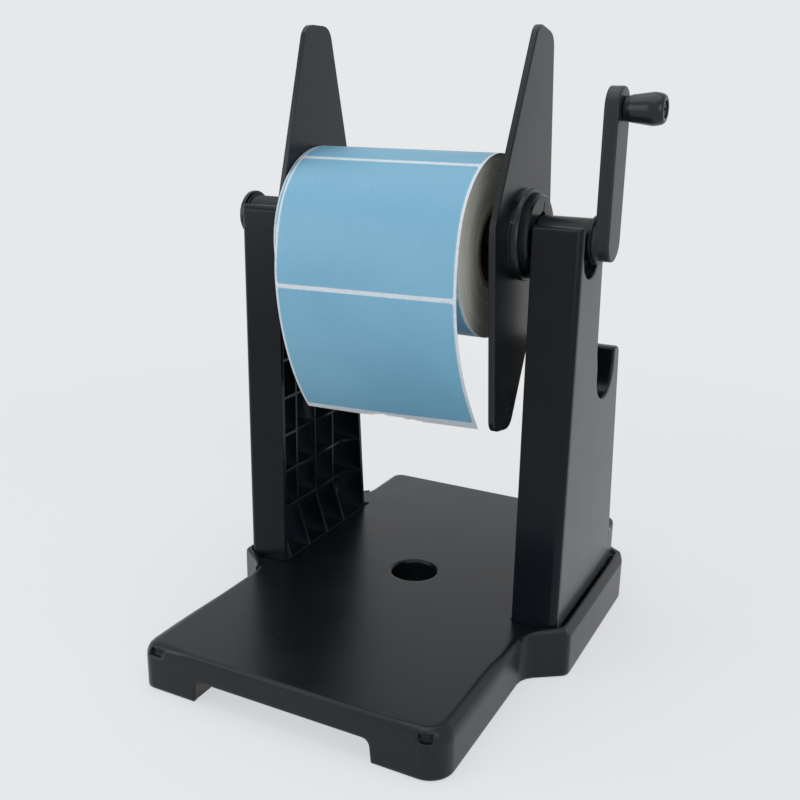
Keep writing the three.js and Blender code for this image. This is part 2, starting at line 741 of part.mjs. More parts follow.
// A screw's boss under the wing, and the well for its head with the hole for its shank.
function screwPlace(x, y) {
  const r = SCREW_WELL_R;
  const shank = SCREW_R + SCREW_CLEARANCE;
  return {
    boss: post(r + SCREW_BOSS_WALL, SCREW_SEAT - 2 * SCREW_HEAD, PLATE_TOP - WITHIN, x, y),
    well: spun([[0, 0], [r, 0], [r, SCREW_SEAT], [shank, SCREW_SEAT], [shank, LIP_TOP], [0, LIP_TOP]], x, y),
  };
}

// The square dimple near each front corner; a wall of its own makes the box that closes it behind.
function dimple(side, wall = 0) {
  const x = side * (PLATE_WIDTH / 2 - DIMPLE_INSET);
  const front = -PLATE_DEPTH / 2;
  const top = PLATE_TOP - DIMPLE_DROP;
  const half = DIMPLE_WIDTH / 2 + wall;
  return blockBetween(
    [x - half, front - BEYOND, top - DIMPLE_HEIGHT - wall],
    [x + half, front + DIMPLE_DEPTH + wall, wall > 0 ? PLATE_TOP - WITHIN : top],
  );
}

function basePlate() {
  const whole = filleted(baseCorners());
  const under = PLATE_TOP - BASE_WALL;
  const shell = cut(
    raised(whole, FOOT_PROUD, PLATE_TOP, PLATE_EDGE),
    raised(filleted(shrunk(baseCorners(), BASE_WALL)), 0, under),
    archCut(-1),
    archCut(1),
  );
  const withinPlate = raised(filleted(shrunk(plateCorners(), BASE_WALL / 2)), 0, PLATE_TOP - WITHIN);
  const withinBase = raised(filleted(shrunk(baseCorners(), BASE_WALL / 2)), 0, PLATE_TOP - WITHIN);
  const feet = Object.values(footPlaces());
  const footBosses = feet.map(([x, y]) =>
    post(FOOT_R + FOOT_BOSS_WALL, FOOT_PROUD, PLATE_TOP - WITHIN, x, y, 20),
  );
  const footHoles = feet.map(([x, y]) => post(FOOT_R + SEAT_GAP, 0, FOOT_HEIGHT + SEAT_GAP, x, y, 20));
  const screws = screwDepths.flatMap((y) => [screwPlace(SCREW_X, y), screwPlace(-SCREW_X, y)]);
  const framework = join(
    ...baseRibs(),
    holeSleeve(),
    ...footBosses,
    ...archWalls(-1),
    ...archWalls(1),
    dimple(-1, DIMPLE_WALL),
    dimple(1, DIMPLE_WALL),
  );
  const pads = join(...bothSides(uprightPad())).intersect(withinBase);
  const body = join(
    shell,
    ...bothSides(wingLip(whole)),
    framework.intersect(withinPlate),
    pads,
    ...screws.map(({ boss }) => boss),
  );
  return cut(
    body,
    ...bothSides(wingSlope()),
    ...bothSides(uprightPocket()),
    centreHole(),
    ...screws.map(({ well }) => well),
    ...footHoles,
    dimple(-1),
    dimple(1),
  );
}

function rubberFoot(x, y) {
  const r = FOOT_R;
  return spun([[0, 0], [r - FOOT_EDGE, 0], [r, FOOT_EDGE], [r, FOOT_HEIGHT], [0, FOOT_HEIGHT]], x, y, 20);
}

// A screw that stands point up, with a cross in its head.
function holdDownScrew(x, y) {
  const seat = SCREW_SEAT - SEAT_GAP;
  const low = seat - SCREW_HEAD;
  const tip = FOOT_Z + SCREW_LENGTH;
  const r = SCREW_HEAD_R;
  const body = spun(
    [[0, low], [r - SCREW_HEAD / 3, low], [r, seat - SCREW_HEAD / 2], [r, seat], [SCREW_R, seat],
      [SCREW_R, tip - SCREW_POINT], [0, tip]],
    x,
    y,
    12,
  );
  const reach = 0.6 * SCREW_HEAD_R;
  const half = SCREW_SLOT / 2;
  const deep = low + SCREW_SLOT_DEPTH;
  return cut(
    body,
    blockBetween([x - reach, y - half, low - BEYOND], [x + reach, y + half, deep]),
    blockBetween([x - half, y - reach, low - BEYOND], [x + half, y + reach, deep]),
  );
}

// Spindle

// Corners of a six-sided bar or bore, with a corner straight up; the corners may be rounded.
function sixSides(flatR, cornerCut = 0) {
  const cornerR = flatR / Math.cos(Math.PI / 6);
  const radius = cornerCut / (1 / Math.cos(Math.PI / 6) - 1);
  const corners = [];
  for (let k = 6; k > 0; k--) {
    const a = (k * Math.PI) / 3;
    corners.push([cornerR * Math.sin(a), cornerR * Math.cos(a), radius]);
  }
  return filleted(corners);
}

function spindle() {
  const end = ARM_X + STUB_LENGTH - COLLAR;
  const capEnd = COLLAR_X + CAP_THICK - CAP_FLOOR - SEAT_GAP;
  const bar = carried(sixSides(BAR_R, BAR_CORNER), -BAR_HALF, BAR_HALF);
  const shaft = turned(
    [[-capEnd, 0], [-capEnd, STUB_R], [-COLLAR_X, STUB_R], [-COLLAR_X, JOURNAL_R], [COLLAR_X, JOURNAL_R],
      [COLLAR_X, STUB_R], [end, STUB_R], [end, 0]],
    0,
    0,
  );
  const flat = blockBetween([COLLAR_X, -FAR, STUB_FLAT], [FAR, FAR, FAR]);
  return cut(join(bar.rotate([BAR_TURN, 0, 0]), shaft), flat).translate([0, AXIS_Y, AXIS_Z]);
}

function bush() {
  const bore = JOURNAL_R + RUN_GAP;
  const inner = BAR_HALF + SEAT_GAP;
  const outer = BUSH_OUTER + BUSH_FLANGE;
  return turned(
    [[inner, bore], [inner, BAR_R], [BUSH_OUTER, BAR_R], [BUSH_OUTER, BUSH_FLANGE_R], [outer, BUSH_FLANGE_R],
      [outer, bore], [inner, bore]],
    AXIS_Y,
    AXIS_Z,
  );
}

// Made at the crank's end and mirrored to the other one.
function endCap() {
  const bore = STUB_R + SEAT_GAP;
  const outer = COLLAR_X + CAP_THICK;
  const floor = outer - CAP_FLOOR;
  const cap = turned(
    [[COLLAR_X, bore], [COLLAR_X, CAP_R], [outer - CAP_EDGE, CAP_R], [outer, CAP_R - CAP_EDGE], [outer, 0],
      [floor, 0], [floor, bore], [COLLAR_X, bore]],
    AXIS_Y,
    AXIS_Z,
  );
  return mirrored(cap);
}

// Flanges

function bladeOutline() {
  return filleted([
    [-BLADE_TIP, -BLADE_LENGTH, BLADE_TIP_FILLET],
    [BLADE_TIP, -BLADE_LENGTH, BLADE_TIP_FILLET],
    [BLADE_MIDDLE, 0, BLADE_MIDDLE_FILLET],
    [BLADE_TIP, BLADE_LENGTH, BLADE_TIP_FILLET],
    [-BLADE_TIP, BLADE_LENGTH, BLADE_TIP_FILLET],
    [-BLADE_MIDDLE, 0, BLADE_MIDDLE_FILLET],
  ]);
}

// Six-sided bore that slides on the bar, with a relief slit at two corners.
function bladeBore() {
  const x0 = -BEYOND;
  const x1 = HUB_FACE_X + BEYOND;
  const slit = blockBetween([x0, -BORE_SLIT / 2, -BORE_SLIT_REACH], [x1, BORE_SLIT / 2, BORE_SLIT_REACH]);
  return join(carried(sixSides(HUB_BORE_R), x0, x1), slit);
}

// A flange with its hub towards +X and its inner face at x = 0, about the spindle line.
function bladeFlange() {
  const blade = carried(bladeOutline(), 0, BLADE_THICK, BLADE_EDGE, 1);
  const root = BLADE_THICK - BITE;
  const hub = turned(
    [[root, 0], [root, HUB_R], [HUB_RIM_X - HUB_EDGE, HUB_R], [HUB_RIM_X, HUB_R - HUB_EDGE], [HUB_RIM_X, 0]],
    0,
    0,
    44,
  );
  const seat = rod(HUB_FACE_R + SEAT_GAP, HUB_RIM_X - HUB_SEAT, HUB_FACE_X, 0, 0, 44);
  return cut(join(blade, hub), seat, bladeBore());
}

// The collar that is pressed into the flange's hub.
function hubCollar() {
  const x0 = HUB_RIM_X - HUB_SEAT + SEAT_GAP;
  const x1 = HUB_FACE_X;
  const r = HUB_FACE_R;
  const collar = turned([[x0, 0], [x0, r], [x1 - HUB_EDGE, r], [x1, r - HUB_EDGE], [x1, 0]], 0, 0, 44);
  return cut(collar, bladeBore());
}

// A flange with its collar, turned about the spindle line; facing is the side that the hub is on.
function placeFlange(side, x, turn, facing) {
  const place = (made) => {
    const faced = facing > 0 ? made : mirrored(made);
    return faced.rotate([turn, 0, 0]).translate([x, AXIS_Y, AXIS_Z]);
  };
  addPiece(side + "_flange", place(bladeFlange()), BLACK_SATIN);
  addPiece(side + "_hub_collar", place(hubCollar()), BLACK_HUB);
}

// Crank

function crankArm() {
  const top = KNOB_Z + ARM_HALF_WIDTH;
  const low = AXIS_Z - ARM_HALF_WIDTH;
  const front = AXIS_Y - ARM_HALF_WIDTH;
  const rear = AXIS_Y + ARM_HALF_WIDTH;
  const r = ARM_HALF_WIDTH - SLACK;
  const outline = filleted([[front, low, r], [rear, low, r], [rear, top, r], [front, top, r]], 7);
  const arm = carried(outline, ARM_X, ARM_X + ARM_THICK, ARM_EDGE, 2);
  const collar = rod(COLLAR_R, COLLAR_X, ARM_X + BITE, AXIS_Y, AXIS_Z);
  const socketEnd = ARM_X + STUB_LENGTH - COLLAR + SEAT_GAP;
  const socket = cut(
    rod(STUB_R + SEAT_GAP, COLLAR_X - BEYOND, socketEnd, AXIS_Y, AXIS_Z),
    blockBetween([0, -FAR, AXIS_Z + STUB_FLAT + SEAT_GAP], [FAR, FAR, FAR]),
  );
  const pinEnd = ARM_X + ARM_THICK - PIN_BITE - SEAT_GAP;
  return cut(join(arm, collar), socket, rod(PIN_R + SEAT_GAP, pinEnd, KNOB_X, AXIS_Y, KNOB_Z, 20));
}

// The knob swells from its waist to its belly and rounds over to the end.
function crankKnob() {
  const bore = PIN_R + RUN_GAP;
  const end = KNOB_X + KNOB_LENGTH;
  const waist = KNOB_X + KNOB_WAIST;
  const belly = KNOB_X + KNOB_BELLY;
  const steps = 4;
  const profile = [[KNOB_X, bore], [KNOB_X, KNOB_BASE_R]];
  for (let i = 0; i <= steps; i++) {
    const t = i / steps;
    const swell = t * t * (3 - 2 * t);
    profile.push([waist + (belly - waist) * t, KNOB_BASE_R + (KNOB_MAX_R - KNOB_BASE_R) * swell]);
  }
  for (let i = 1; i <= steps; i++) {
    const a = (i / steps) * (Math.PI / 2);
    const r = KNOB_END_R + (KNOB_MAX_R - KNOB_END_R) * Math.cos(a);
    profile.push([belly + (end - belly) * Math.sin(a), r]);
  }
  const recessR = PIN_HEAD_R + PIN_HEAD_GAP;
  profile.push([end, recessR], [end - KNOB_RECESS, recessR], [end - KNOB_RECESS, bore], [KNOB_X, bore]);
  return turned(profile, AXIS_Y, KNOB_Z, 28);
}

// The pin that the knob spins on, with a cross in its head.
function knobPin() {
  const seat = KNOB_X + KNOB_LENGTH - KNOB_RECESS + SEAT_GAP;
  const face = seat + PIN_HEAD;
  const tip = ARM_X + ARM_THICK - PIN_BITE;
  const body = turned(
    [[tip, 0], [tip, PIN_R], [seat, PIN_R], [seat, PIN_HEAD_R], [face - PIN_HEAD_EDGE, PIN_HEAD_R],
      [face, PIN_HEAD_R - PIN_HEAD_EDGE], [face, 0]],
    AXIS_Y,
    KNOB_Z,
    20,
  );
  const half = PIN_SLOT / 2;
  const reach = 0.6 * PIN_HEAD_R;
  return cut(
    body,
    blockBetween([face - PIN_SLOT, AXIS_Y - reach, KNOB_Z - half], [FAR, AXIS_Y + reach, KNOB_Z + half]),
    blockBetween([face - PIN_SLOT, AXIS_Y - half, KNOB_Z - reach], [FAR, AXIS_Y + half, KNOB_Z + reach]),
  );
}

// Label roll

function ring(inner, outer, segments) {
  const [x0, x1] = [ROLL_LEFT, ROLL_RIGHT];
  return turned([[x0, inner], [x0, outer], [x1, outer], [x1, inner], [x0, inner]], AXIS_Y, ROLL_Z, segments);
}

// The tail leaves the roll at its front, plumb, and leans back more and more slowly.
function tailLine(steps) {
  const leanAt = (s) => THREE.MathUtils.degToRad(TAIL_LEAN) * (1 - Math.exp(-s / TAIL_SETTLE));
  const ds = TAIL_LENGTH / steps;
  const line = [];
  let y = AXIS_Y - ROLL_R - SEAT_GAP - SHEET / 2;
  let z = ROLL_Z;
  for (let i = 0; i <= steps; i++) {
    line.push({ y, z, lean: leanAt(i * ds) });
    const middle = leanAt((i + 0.5) * ds);
    y += ds * Math.sin(middle);
    z -= ds * Math.cos(middle);
  }
  return line;
}

// The tail's sheet, torn off at a slant.
function labelTail() {
  const line = tailLine(24);
  const face = (side) =>
    line.map(({ y, z, lean }) => {
      const off = (side * SHEET) / 2;
      return point(y + off * Math.cos(lean), z + off * Math.sin(lean));
    });
  const sheet = carried([...face(-1), ...face(1).reverse()], ROLL_LEFT, ROLL_RIGHT);
  const low = line[line.length - 1].z - SHEET;
  const torn = [point(ROLL_LEFT, low), point(ROLL_RIGHT, low), point(ROLL_LEFT, low + TEAR_DROP)];
  return cut(sheet, runBack(torn.map((p) => point(p.x - SLACK, p.y)), -FAR, FAR));
}

// Assembly

addPiece("base_plate", basePlate(), BLACK);
for (const [place, [x, y]] of Object.entries(footPlaces())) {
  addPiece("foot_" + place, rubberFoot(x, y), RUBBER);
}

const rightUpright = upright();
addPiece("right_upright", rightUpright, BLACK);
addPiece("left_upright", mirrored(rightUpright), BLACK);
for (const [side, name] of [[-1, "left"], [1, "right"]]) {
  screwDepths.forEach((y, i) => {
    const end = ["front", "rear"][i];
    addPiece(name + "_upright_screw_" + end, holdDownScrew(side * SCREW_X, y), STEEL);
  });
}

addPiece("spindle_bar", spindle(), BLACK_SATIN);
addPiece("right_bush", bush(), BLACK_HUB);
addPiece("left_bush", mirrored(bush()), BLACK_HUB);
addPiece("spindle_end_cap", endCap(), BLACK_SATIN);
placeFlange("right", RIGHT_BLADE_X, RIGHT_BLADE_TURN, 1);
placeFlange("left", LEFT_BLADE_X, 0, -1);

addPiece("crank_arm", crankArm(), BLACK_SATIN);
addPiece("crank_knob", crankKnob(), BLACK);
addPiece("knob_pin", knobPin(), STEEL);

addPiece("label_core", ring(CORE_BORE_R, CORE_BORE_R + CORE_WALL, 40), CARD);
addPiece("label_roll", ring(CORE_BORE_R + CORE_WALL + SEAT_GAP, ROLL_R, 72), LABEL_BLUE);
addPiece("label_tail", labelTail(), LINER);

// The middle of the whole span lies on x = 0.
for (const piece of rewinder.children) piece.position.x = -X_SPAN_CENTRE;

export default rewinder;
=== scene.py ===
"""Looks of the manual label rewinder: moulded black plastic, steel screws, and a roll of pale blue labels.

Metres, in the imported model's frame: +X along the spindle towards the crank, +Y to the back, +Z up.
"""
import json
import math

import bmesh
import bpy
import numpy as np
from mathutils import Matrix, Vector

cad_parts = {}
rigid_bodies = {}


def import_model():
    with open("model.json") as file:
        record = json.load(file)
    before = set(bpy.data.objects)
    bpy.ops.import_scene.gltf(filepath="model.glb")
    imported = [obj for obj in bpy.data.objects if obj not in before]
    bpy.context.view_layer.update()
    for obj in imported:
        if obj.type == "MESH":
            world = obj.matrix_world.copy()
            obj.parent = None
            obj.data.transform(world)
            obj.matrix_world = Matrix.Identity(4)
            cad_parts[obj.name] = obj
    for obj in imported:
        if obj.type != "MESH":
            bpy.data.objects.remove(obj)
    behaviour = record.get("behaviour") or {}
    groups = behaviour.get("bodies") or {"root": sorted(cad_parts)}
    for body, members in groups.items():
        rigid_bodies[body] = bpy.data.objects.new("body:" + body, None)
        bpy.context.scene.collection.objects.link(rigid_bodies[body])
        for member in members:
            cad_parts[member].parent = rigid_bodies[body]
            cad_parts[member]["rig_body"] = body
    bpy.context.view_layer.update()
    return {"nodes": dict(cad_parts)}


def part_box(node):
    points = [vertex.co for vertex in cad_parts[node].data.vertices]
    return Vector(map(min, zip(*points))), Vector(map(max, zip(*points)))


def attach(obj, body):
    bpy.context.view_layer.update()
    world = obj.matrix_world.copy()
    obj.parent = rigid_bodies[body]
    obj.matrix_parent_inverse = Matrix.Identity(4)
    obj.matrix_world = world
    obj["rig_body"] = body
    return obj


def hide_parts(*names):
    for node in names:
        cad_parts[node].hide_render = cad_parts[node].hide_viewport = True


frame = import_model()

MM = 0.001


# Places taken from the frame

def middle(node):
    low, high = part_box(node)
    return (Vector(low) + Vector(high)) / 2


def span(node, axis):
    low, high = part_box(node)
    return low[axis], high[axis]


plate_x = middle("base_plate").x
roll_centre = middle("label_core")
roll_left, roll_right = span("label_roll", 0)
roll_radius = (span("label_roll", 2)[1] - span("label_roll", 2)[0]) / 2
core_radius = (span("label_core", 2)[1] - span("label_core", 2)[0]) / 2


# Camera, at the photograph's place, which was solved from the straight edges of the base, uprights and flanges

CAMERA_FROM_PLATE = Vector((233.3, -480.1, 294.1)) * MM
CAMERA_YAW = 26.98
CAMERA_PITCH = 16.93
CAMERA_ROLL = 0.90
FOCAL_PIXELS = 997.86
PHOTO_PIXELS = 800
SENSOR_MM = 36


def make_camera():
    yaw, pitch, roll = (math.radians(a) for a in (CAMERA_YAW, CAMERA_PITCH, CAMERA_ROLL))
    ahead = Vector((-math.sin(yaw) * math.cos(pitch), math.cos(yaw) * math.cos(pitch), -math.sin(pitch)))
    level_right = ahead.cross(Vector((0, 0, 1))).normalized()
    level_up = level_right.cross(ahead)
    right = level_right * math.cos(roll) + level_up * math.sin(roll)
    up = level_up * math.cos(roll) - level_right * math.sin(roll)
    lens = bpy.data.cameras.new("photo_camera")
    lens.sensor_width = SENSOR_MM
    lens.lens = FOCAL_PIXELS / PHOTO_PIXELS * SENSOR_MM
    lens.clip_start = 0.01
    lens.clip_end = 50
    camera = bpy.data.objects.new("photo_camera", lens)
    turn = Matrix((right, up, -ahead)).transposed()
    camera.matrix_world = Matrix.Translation(CAMERA_FROM_PLATE + Vector((plate_x, 0, 0))) @ turn.to_4x4()
    bpy.context.scene.collection.objects.link(camera)
    bpy.context.scene.camera = camera


# Shader maths

class Wire:
    """An output socket. Arithmetic on wires and numbers adds Math nodes."""

    def __init__(self, paint, socket):
        self.paint = paint
        self.socket = socket

    def maths(self, operation, *terms):
        return self.paint.node("ShaderNodeMath", {"operation": operation}, dict(enumerate(terms)))

    def __add__(self, other):
        return self.maths("ADD", self, other)

    __radd__ = __add__

    def __sub__(self, other):
        return self.maths("SUBTRACT", self, other)

    def __rsub__(self, other):
        return self.maths("SUBTRACT", other, self)

    def __mul__(self, other):
        return self.maths("MULTIPLY", self, other)

    __rmul__ = __mul__

    def __truediv__(self, other):
        return self.maths("DIVIDE", self, other)

    def __pow__(self, other):
        return self.maths("POWER", self, other)

    def __abs__(self):
        return self.maths("ABSOLUTE", self)

    def __mod__(self, other):
        return self.maths("FLOORED_MODULO", self, other)

    def above(self, other):
        return self.maths("MAXIMUM", self, other)

    def root(self):
        return self.maths("SQRT", self)

    def sine(self):
        return self.maths("SINE", self)

    def step(self, start, end):
        """0 before start, 1 after end, and smooth between them."""
        ramp = {"data_type": "FLOAT", "interpolation_type": "SMOOTHSTEP"}
        return self.paint.node("ShaderNodeMapRange", ramp, {"Value": self, "From Min": start, "From Max": end})


class Paint:
    """The nodes of one material, or of the world."""

    def __init__(self, owner):
        self.owner = owner
        owner.use_nodes = True
        self.tree = owner.node_tree
        self.tree.nodes.clear()

    def node(self, kind, settings=None, sockets=None, output=0):
        """Adds a node: first its settings, with a ramp's stops, then the values or links of its sockets."""
        made = self.tree.nodes.new(kind)
        for name, value in (settings or {}).items():
            if name == "stops":
                self.set_stops(made.color_ramp, value)
            else:
                setattr(made, name, value)
        for key, value in (sockets or {}).items():
            socket = made.inputs[key]
            if isinstance(value, Wire):
                self.tree.links.new(value.socket, socket)
            else:
                socket.default_value = value
        return Wire(self, made.outputs[output])

    @staticmethod
    def set_stops(ramp, stops):
        while len(ramp.elements) < len(stops):
            ramp.elements.new(0.5)
        for element, (place, colour) in zip(ramp.elements, stops):
            element.position = place
            element.color = colour

    def place(self):
        return self.node("ShaderNodeTexCoord", output="Object")

    def parts(self, vector):
        split = self.node("ShaderNodeSeparateXYZ", {}, {"Vector": vector}).socket.node
        return [Wire(self, out) for out in split.outputs]

    def vector(self, x, y, z=0.0):
        return self.node("ShaderNodeCombineXYZ", {}, {"X": x, "Y": y, "Z": z})

    def scaled(self, vector, scale):
        return self.node("ShaderNodeMapping", {}, {"Vector": vector, "Scale": scale})

    def noise(self, vector, scale, detail=3.0, roughness=0.5):
        sockets = {"Vector": vector, "Scale": scale, "Detail": detail, "Roughness": roughness}
        return self.node("ShaderNodeTexNoise", {"noise_dimensions": "3D"}, sockets)

    def mix(self, factor, first, second):
        settings = {"data_type": "RGBA", "blend_type": "MIX", "clamp_factor": True}
        return self.node("ShaderNodeMix", settings, {0: factor, 6: first, 7: second}, output=2)

    def bump(self, height, distance, strength=1.0, normal=None):
        sockets = {"Height": height, "Distance": distance, "Strength": strength}
        if normal is not None:
            sockets["Normal"] = normal
        return self.node("ShaderNodeBump", {}, sockets)

    def soft_edges(self, radius):
        return self.node("ShaderNodeBevel", {"samples": 6}, {"Radius": radius})

    def surface(self, **sockets):
        names = {"colour": "Base Color", "roughness": "Roughness", "metal": "Metallic", "normal": "Normal",
                 "gloss": "Specular IOR Level"}
        shader = self.node("ShaderNodeBsdfPrincipled", {}, {names[k]: v for k, v in sockets.items()})
        return self.finish(shader)

    def finish(self, shader, kind="ShaderNodeOutputMaterial"):
        """Joins the shader to the output, and gives back the material or world that it paints."""
        output = self.tree.nodes.new(kind)
        self.tree.links.new(shader.socket, output.inputs["Surface"])
        return self.owner


def new_paint(name):
    return Paint(bpy.data.materials.new(name))


def rgb(red, green, blue):
    """A colour as it is seen, 0 to 255 a channel, as the linear colour that a shader takes."""
    def linear(c):
        c /= 255
        return c / 12.92 if c <= 0.04045 else ((c + 0.055) / 1.055) ** 2.4
    return linear(red), linear(green), linear(blue), 1.0


def tinted(colour, factor, lift=0.0):
    return tuple(c * factor + lift for c in colour[:3]) + (1.0,)


# Plastics

CELL_DEPTH = 16 * MM  # how far round a point its cell's walls count
OUTER_FROM = 85 * MM  # the uprights' outer faces lie further than this from the plate's middle
OUTER_TO = 95 * MM


def moulded_plastic(name, tint, roughness, gloss, grain=1.0, edge=0.6 * MM, hollow_light=None, side=None):
    """Injection-moulded black: fine spark-eroded grain, faint flow marks, handling marks and softened edges. hollow
    is painted light: a paler colour in the bottoms of its cells, where the local occlusion is deep. side is painted
    light: a paler colour on the faces that look outwards, as if lit from the sides."""
    paint = new_paint(name)
    place = paint.place()
    flow = paint.noise(paint.scaled(place, (9, 9, 3)), 2.0, 4.0, 0.55)
    handling = paint.noise(place, 34.0, 5.0, 0.62)
    pores = paint.noise(place, 2400.0, 2.0)
    streaks = paint.noise(paint.scaled(place, (60, 700, 700)), 1.0, 3.0, 0.6)
    scuff = streaks.step(0.67, 0.74) * handling.step(0.52, 0.66)
    tone = flow * 0.4 + handling * 0.3 + pores * 0.3
    colour = paint.mix(tone.step(0.36, 0.64), tinted(tint, 0.84), tinted(tint, 1.18))
    colour = paint.mix(scuff * 0.12, colour, tinted(tint, 2.0, 0.006))
    # Painted light: where the local occlusion is deep, the bottoms of the cells take the paler hollow colour.
    if hollow_light:
        open_share = paint.node("ShaderNodeAmbientOcclusion", {"samples": 6, "only_local": True},
                                {"Distance": CELL_DEPTH}, "AO")
        colour = paint.mix(1 - open_share.step(0.3, 0.8), colour, hollow_light)
    # Painted light: faces that look outwards from the plate's middle take the paler side colour, as if lit from the
    # sides.
    if side:
        facing = paint.parts(paint.node("ShaderNodeTexCoord", output="Normal"))[0]
        outward = (paint.parts(place)[0] - plate_x) * facing
        colour = paint.mix(outward.step(OUTER_FROM, OUTER_TO), colour, side)
    rough = roughness - 0.02 + 0.04 * handling.step(0.3, 0.7) + scuff * 0.02
    normal = paint.bump(pores, 0.03 * MM * grain, 0.6, paint.soft_edges(edge))
    return paint.surface(colour=colour, roughness=rough, gloss=gloss, normal=normal)


def rubber_sole():
    """Matt black rubber, with a chalky bloom and fine pits."""
    paint = new_paint("rubber_sole")
    place = paint.place()
    bloom = paint.noise(place, 140.0, 4.0, 0.6)
    pits = paint.noise(place, 1800.0, 2.0)
    colour = paint.mix(bloom.step(0.45, 0.75) * 0.5, rgb(24, 24, 25), rgb(56, 55, 54))
    return paint.surface(colour=colour, roughness=0.82 + bloom * 0.12, normal=paint.bump(pits, 0.04 * MM, 0.7))


def zinc_steel():
    """Zinc-plated screw steel: cloudy plating and fine turning marks."""
    paint = new_paint("zinc_steel")
    place = paint.place()
    cloud = paint.noise(place, 420.0, 4.0, 0.6)
    lines = paint.noise(paint.scaled(place, (300, 5200, 5200)), 1.0, 2.0)
    colour = paint.mix(cloud.step(0.35, 0.7), rgb(152, 156, 160), rgb(196, 198, 198))
    rough = 0.24 + 0.2 * cloud + 0.06 * lines
    return paint.surface(colour=colour, metal=1.0, roughness=rough, normal=paint.bump(lines, 0.02 * MM, 0.5))


def blackened_steel():
    """Screw steel with a black oxide coat, rubbed a little at its raised places."""
    paint = new_paint("blackened_steel")
    place = paint.place()
    cloud = paint.noise(place, 700.0, 4.0, 0.6)
    colour = paint.mix(cloud.step(0.5, 0.7), rgb(30, 32, 34), rgb(62, 65, 67))
    return paint.surface(colour=colour, metal=0.6, roughness=0.34 + 0.2 * cloud, normal=paint.bump(cloud, 0.02 * MM))


# Board and paper

def round_the_roll(paint, place):
    """The distance from the roll's middle line, and the angle round it."""
    y, z = paint.parts(place)[1:]
    y, z = y - roll_centre.y, z - roll_centre.z
    return (y * y + z * z).root(), z.maths("ARCTAN2", z, y)


PLY = 0.42 * MM


def wound_board():
    """Grey-brown core board: fibres round the tube and thin plies at its ends."""
    paint = new_paint("wound_board")
    place = paint.place()
    radius = round_the_roll(paint, place)[0]
    plies = (radius * (2 * math.pi / PLY)).sine() * 0.5 + 0.5
    fibres = paint.noise(paint.scaled(place, (160, 900, 900)), 1.0, 5.0, 0.65)
    speck = paint.noise(place, 900.0, 3.0)
    colour = paint.mix(fibres.step(0.3, 0.7), rgb(104, 92, 76), rgb(142, 128, 106))
    colour = paint.mix(plies * 0.35, colour, rgb(78, 69, 58))
    colour = paint.mix(speck.step(0.66, 0.74) * 0.6, colour, rgb(72, 64, 54))
    return paint.surface(colour=colour, roughness=0.88, normal=paint.bump(fibres + plies * 0.4, 0.06 * MM, 0.7))


LABEL_BLUE = rgb(114, 166, 192)
LABEL_BLUE_DEEP = rgb(106, 158, 185)
LINER_PALE = rgb(205, 214, 220)
LINER_SHADE = rgb(188, 198, 204)
LABEL_WIDTH = 100 * MM
LABEL_GAP = 2.1 * MM
LABEL_PITCH = 73 * MM
LABEL_CORNER = 1.6 * MM
LABEL_THICK = 0.1 * MM
CUT_WIDTH = 0.12 * MM  # over which the colour changes at a label's edge


def web_print(name):
    """Blue labels on their liner. The attribute "web" holds the place across the labels, the place along them, 0 in
    the middle of the gap on top of the roll, and the distance from the torn end. Each label is a rounded rectangle
    whose edge stands a paper's thickness proud, and past the second one on the tail the liner is bare."""
    paint = new_paint(name)
    place = paint.place()
    across, along, tear = paint.parts(paint.node("ShaderNodeAttribute", {"attribute_name": "web"}, output="Vector"))
    from_side = abs(across) - (LABEL_WIDTH / 2 - LABEL_CORNER)
    from_end = abs(along % LABEL_PITCH - LABEL_PITCH / 2) - ((LABEL_PITCH - LABEL_GAP) / 2 - LABEL_CORNER)
    corner = (from_side.above(0.0) ** 2.0 + from_end.above(0.0) ** 2.0).root() - LABEL_CORNER
    bare_end = 1 - along.step(2 * LABEL_PITCH - CUT_WIDTH, 2 * LABEL_PITCH + CUT_WIDTH)
    label = (1 - corner.step(-CUT_WIDTH, CUT_WIDTH)) * bare_end
    fibre = paint.noise(paint.scaled(place, (500, 900, 900)), 1.0, 5.0, 0.6)
    cloud = paint.noise(place, 16.0, 3.0)
    fleck = paint.noise(place, 2400.0, 2.0)
    liner = paint.mix(fibre.step(0.3, 0.7), LINER_SHADE, LINER_PALE)
    blue = paint.mix((cloud * 0.6 + fibre * 0.4).step(0.35, 0.65), LABEL_BLUE_DEEP, LABEL_BLUE)
    blue = paint.mix(fleck.step(0.62, 0.8) * 0.15, blue, rgb(146, 188, 208))
    # Partly wear and partly painted highlight: a paler line just inside each label's cut edge, where its raised rim
    # catches the light.
    edge_wear_and_highlight = (1 - abs(corner + 0.2 * MM).step(0.1 * MM, 0.35 * MM)) * label
    blue = paint.mix(edge_wear_and_highlight * 0.25, blue, rgb(168, 202, 218))
    colour = paint.mix(label, liner, blue)
    frayed = 1 - tear.step(0.2 * MM, 1.4 * MM)
    colour = paint.mix(frayed * fibre.step(0.4, 0.6) * 0.7, colour, rgb(226, 230, 230))
    height = label * LABEL_THICK + fibre * 0.01 * MM + frayed * fibre * 0.15 * MM
    rough = 0.4 + 0.12 * fibre + frayed * 0.3
    return paint.surface(colour=colour, roughness=rough, gloss=0.45, normal=paint.bump(height, 1.0, 0.8))


def liner_back():
    """The back of the liner: bluish-white glassine with faint fibres."""
    paint = new_paint("liner_back")
    place = paint.place()
    fibre = paint.noise(paint.scaled(place, (500, 900, 900)), 1.0, 5.0, 0.6)
    cloud = paint.noise(place, 30.0, 4.0, 0.55)
    colour = paint.mix((fibre * 0.5 + cloud * 0.5).step(0.35, 0.65), rgb(186, 200, 209), rgb(210, 219, 225))
    return paint.surface(colour=colour, roughness=0.42 + 0.16 * fibre, normal=paint.bump(fibre, 0.02 * MM, 0.6))


TURN = 0.32 * MM  # label, glue and liner together


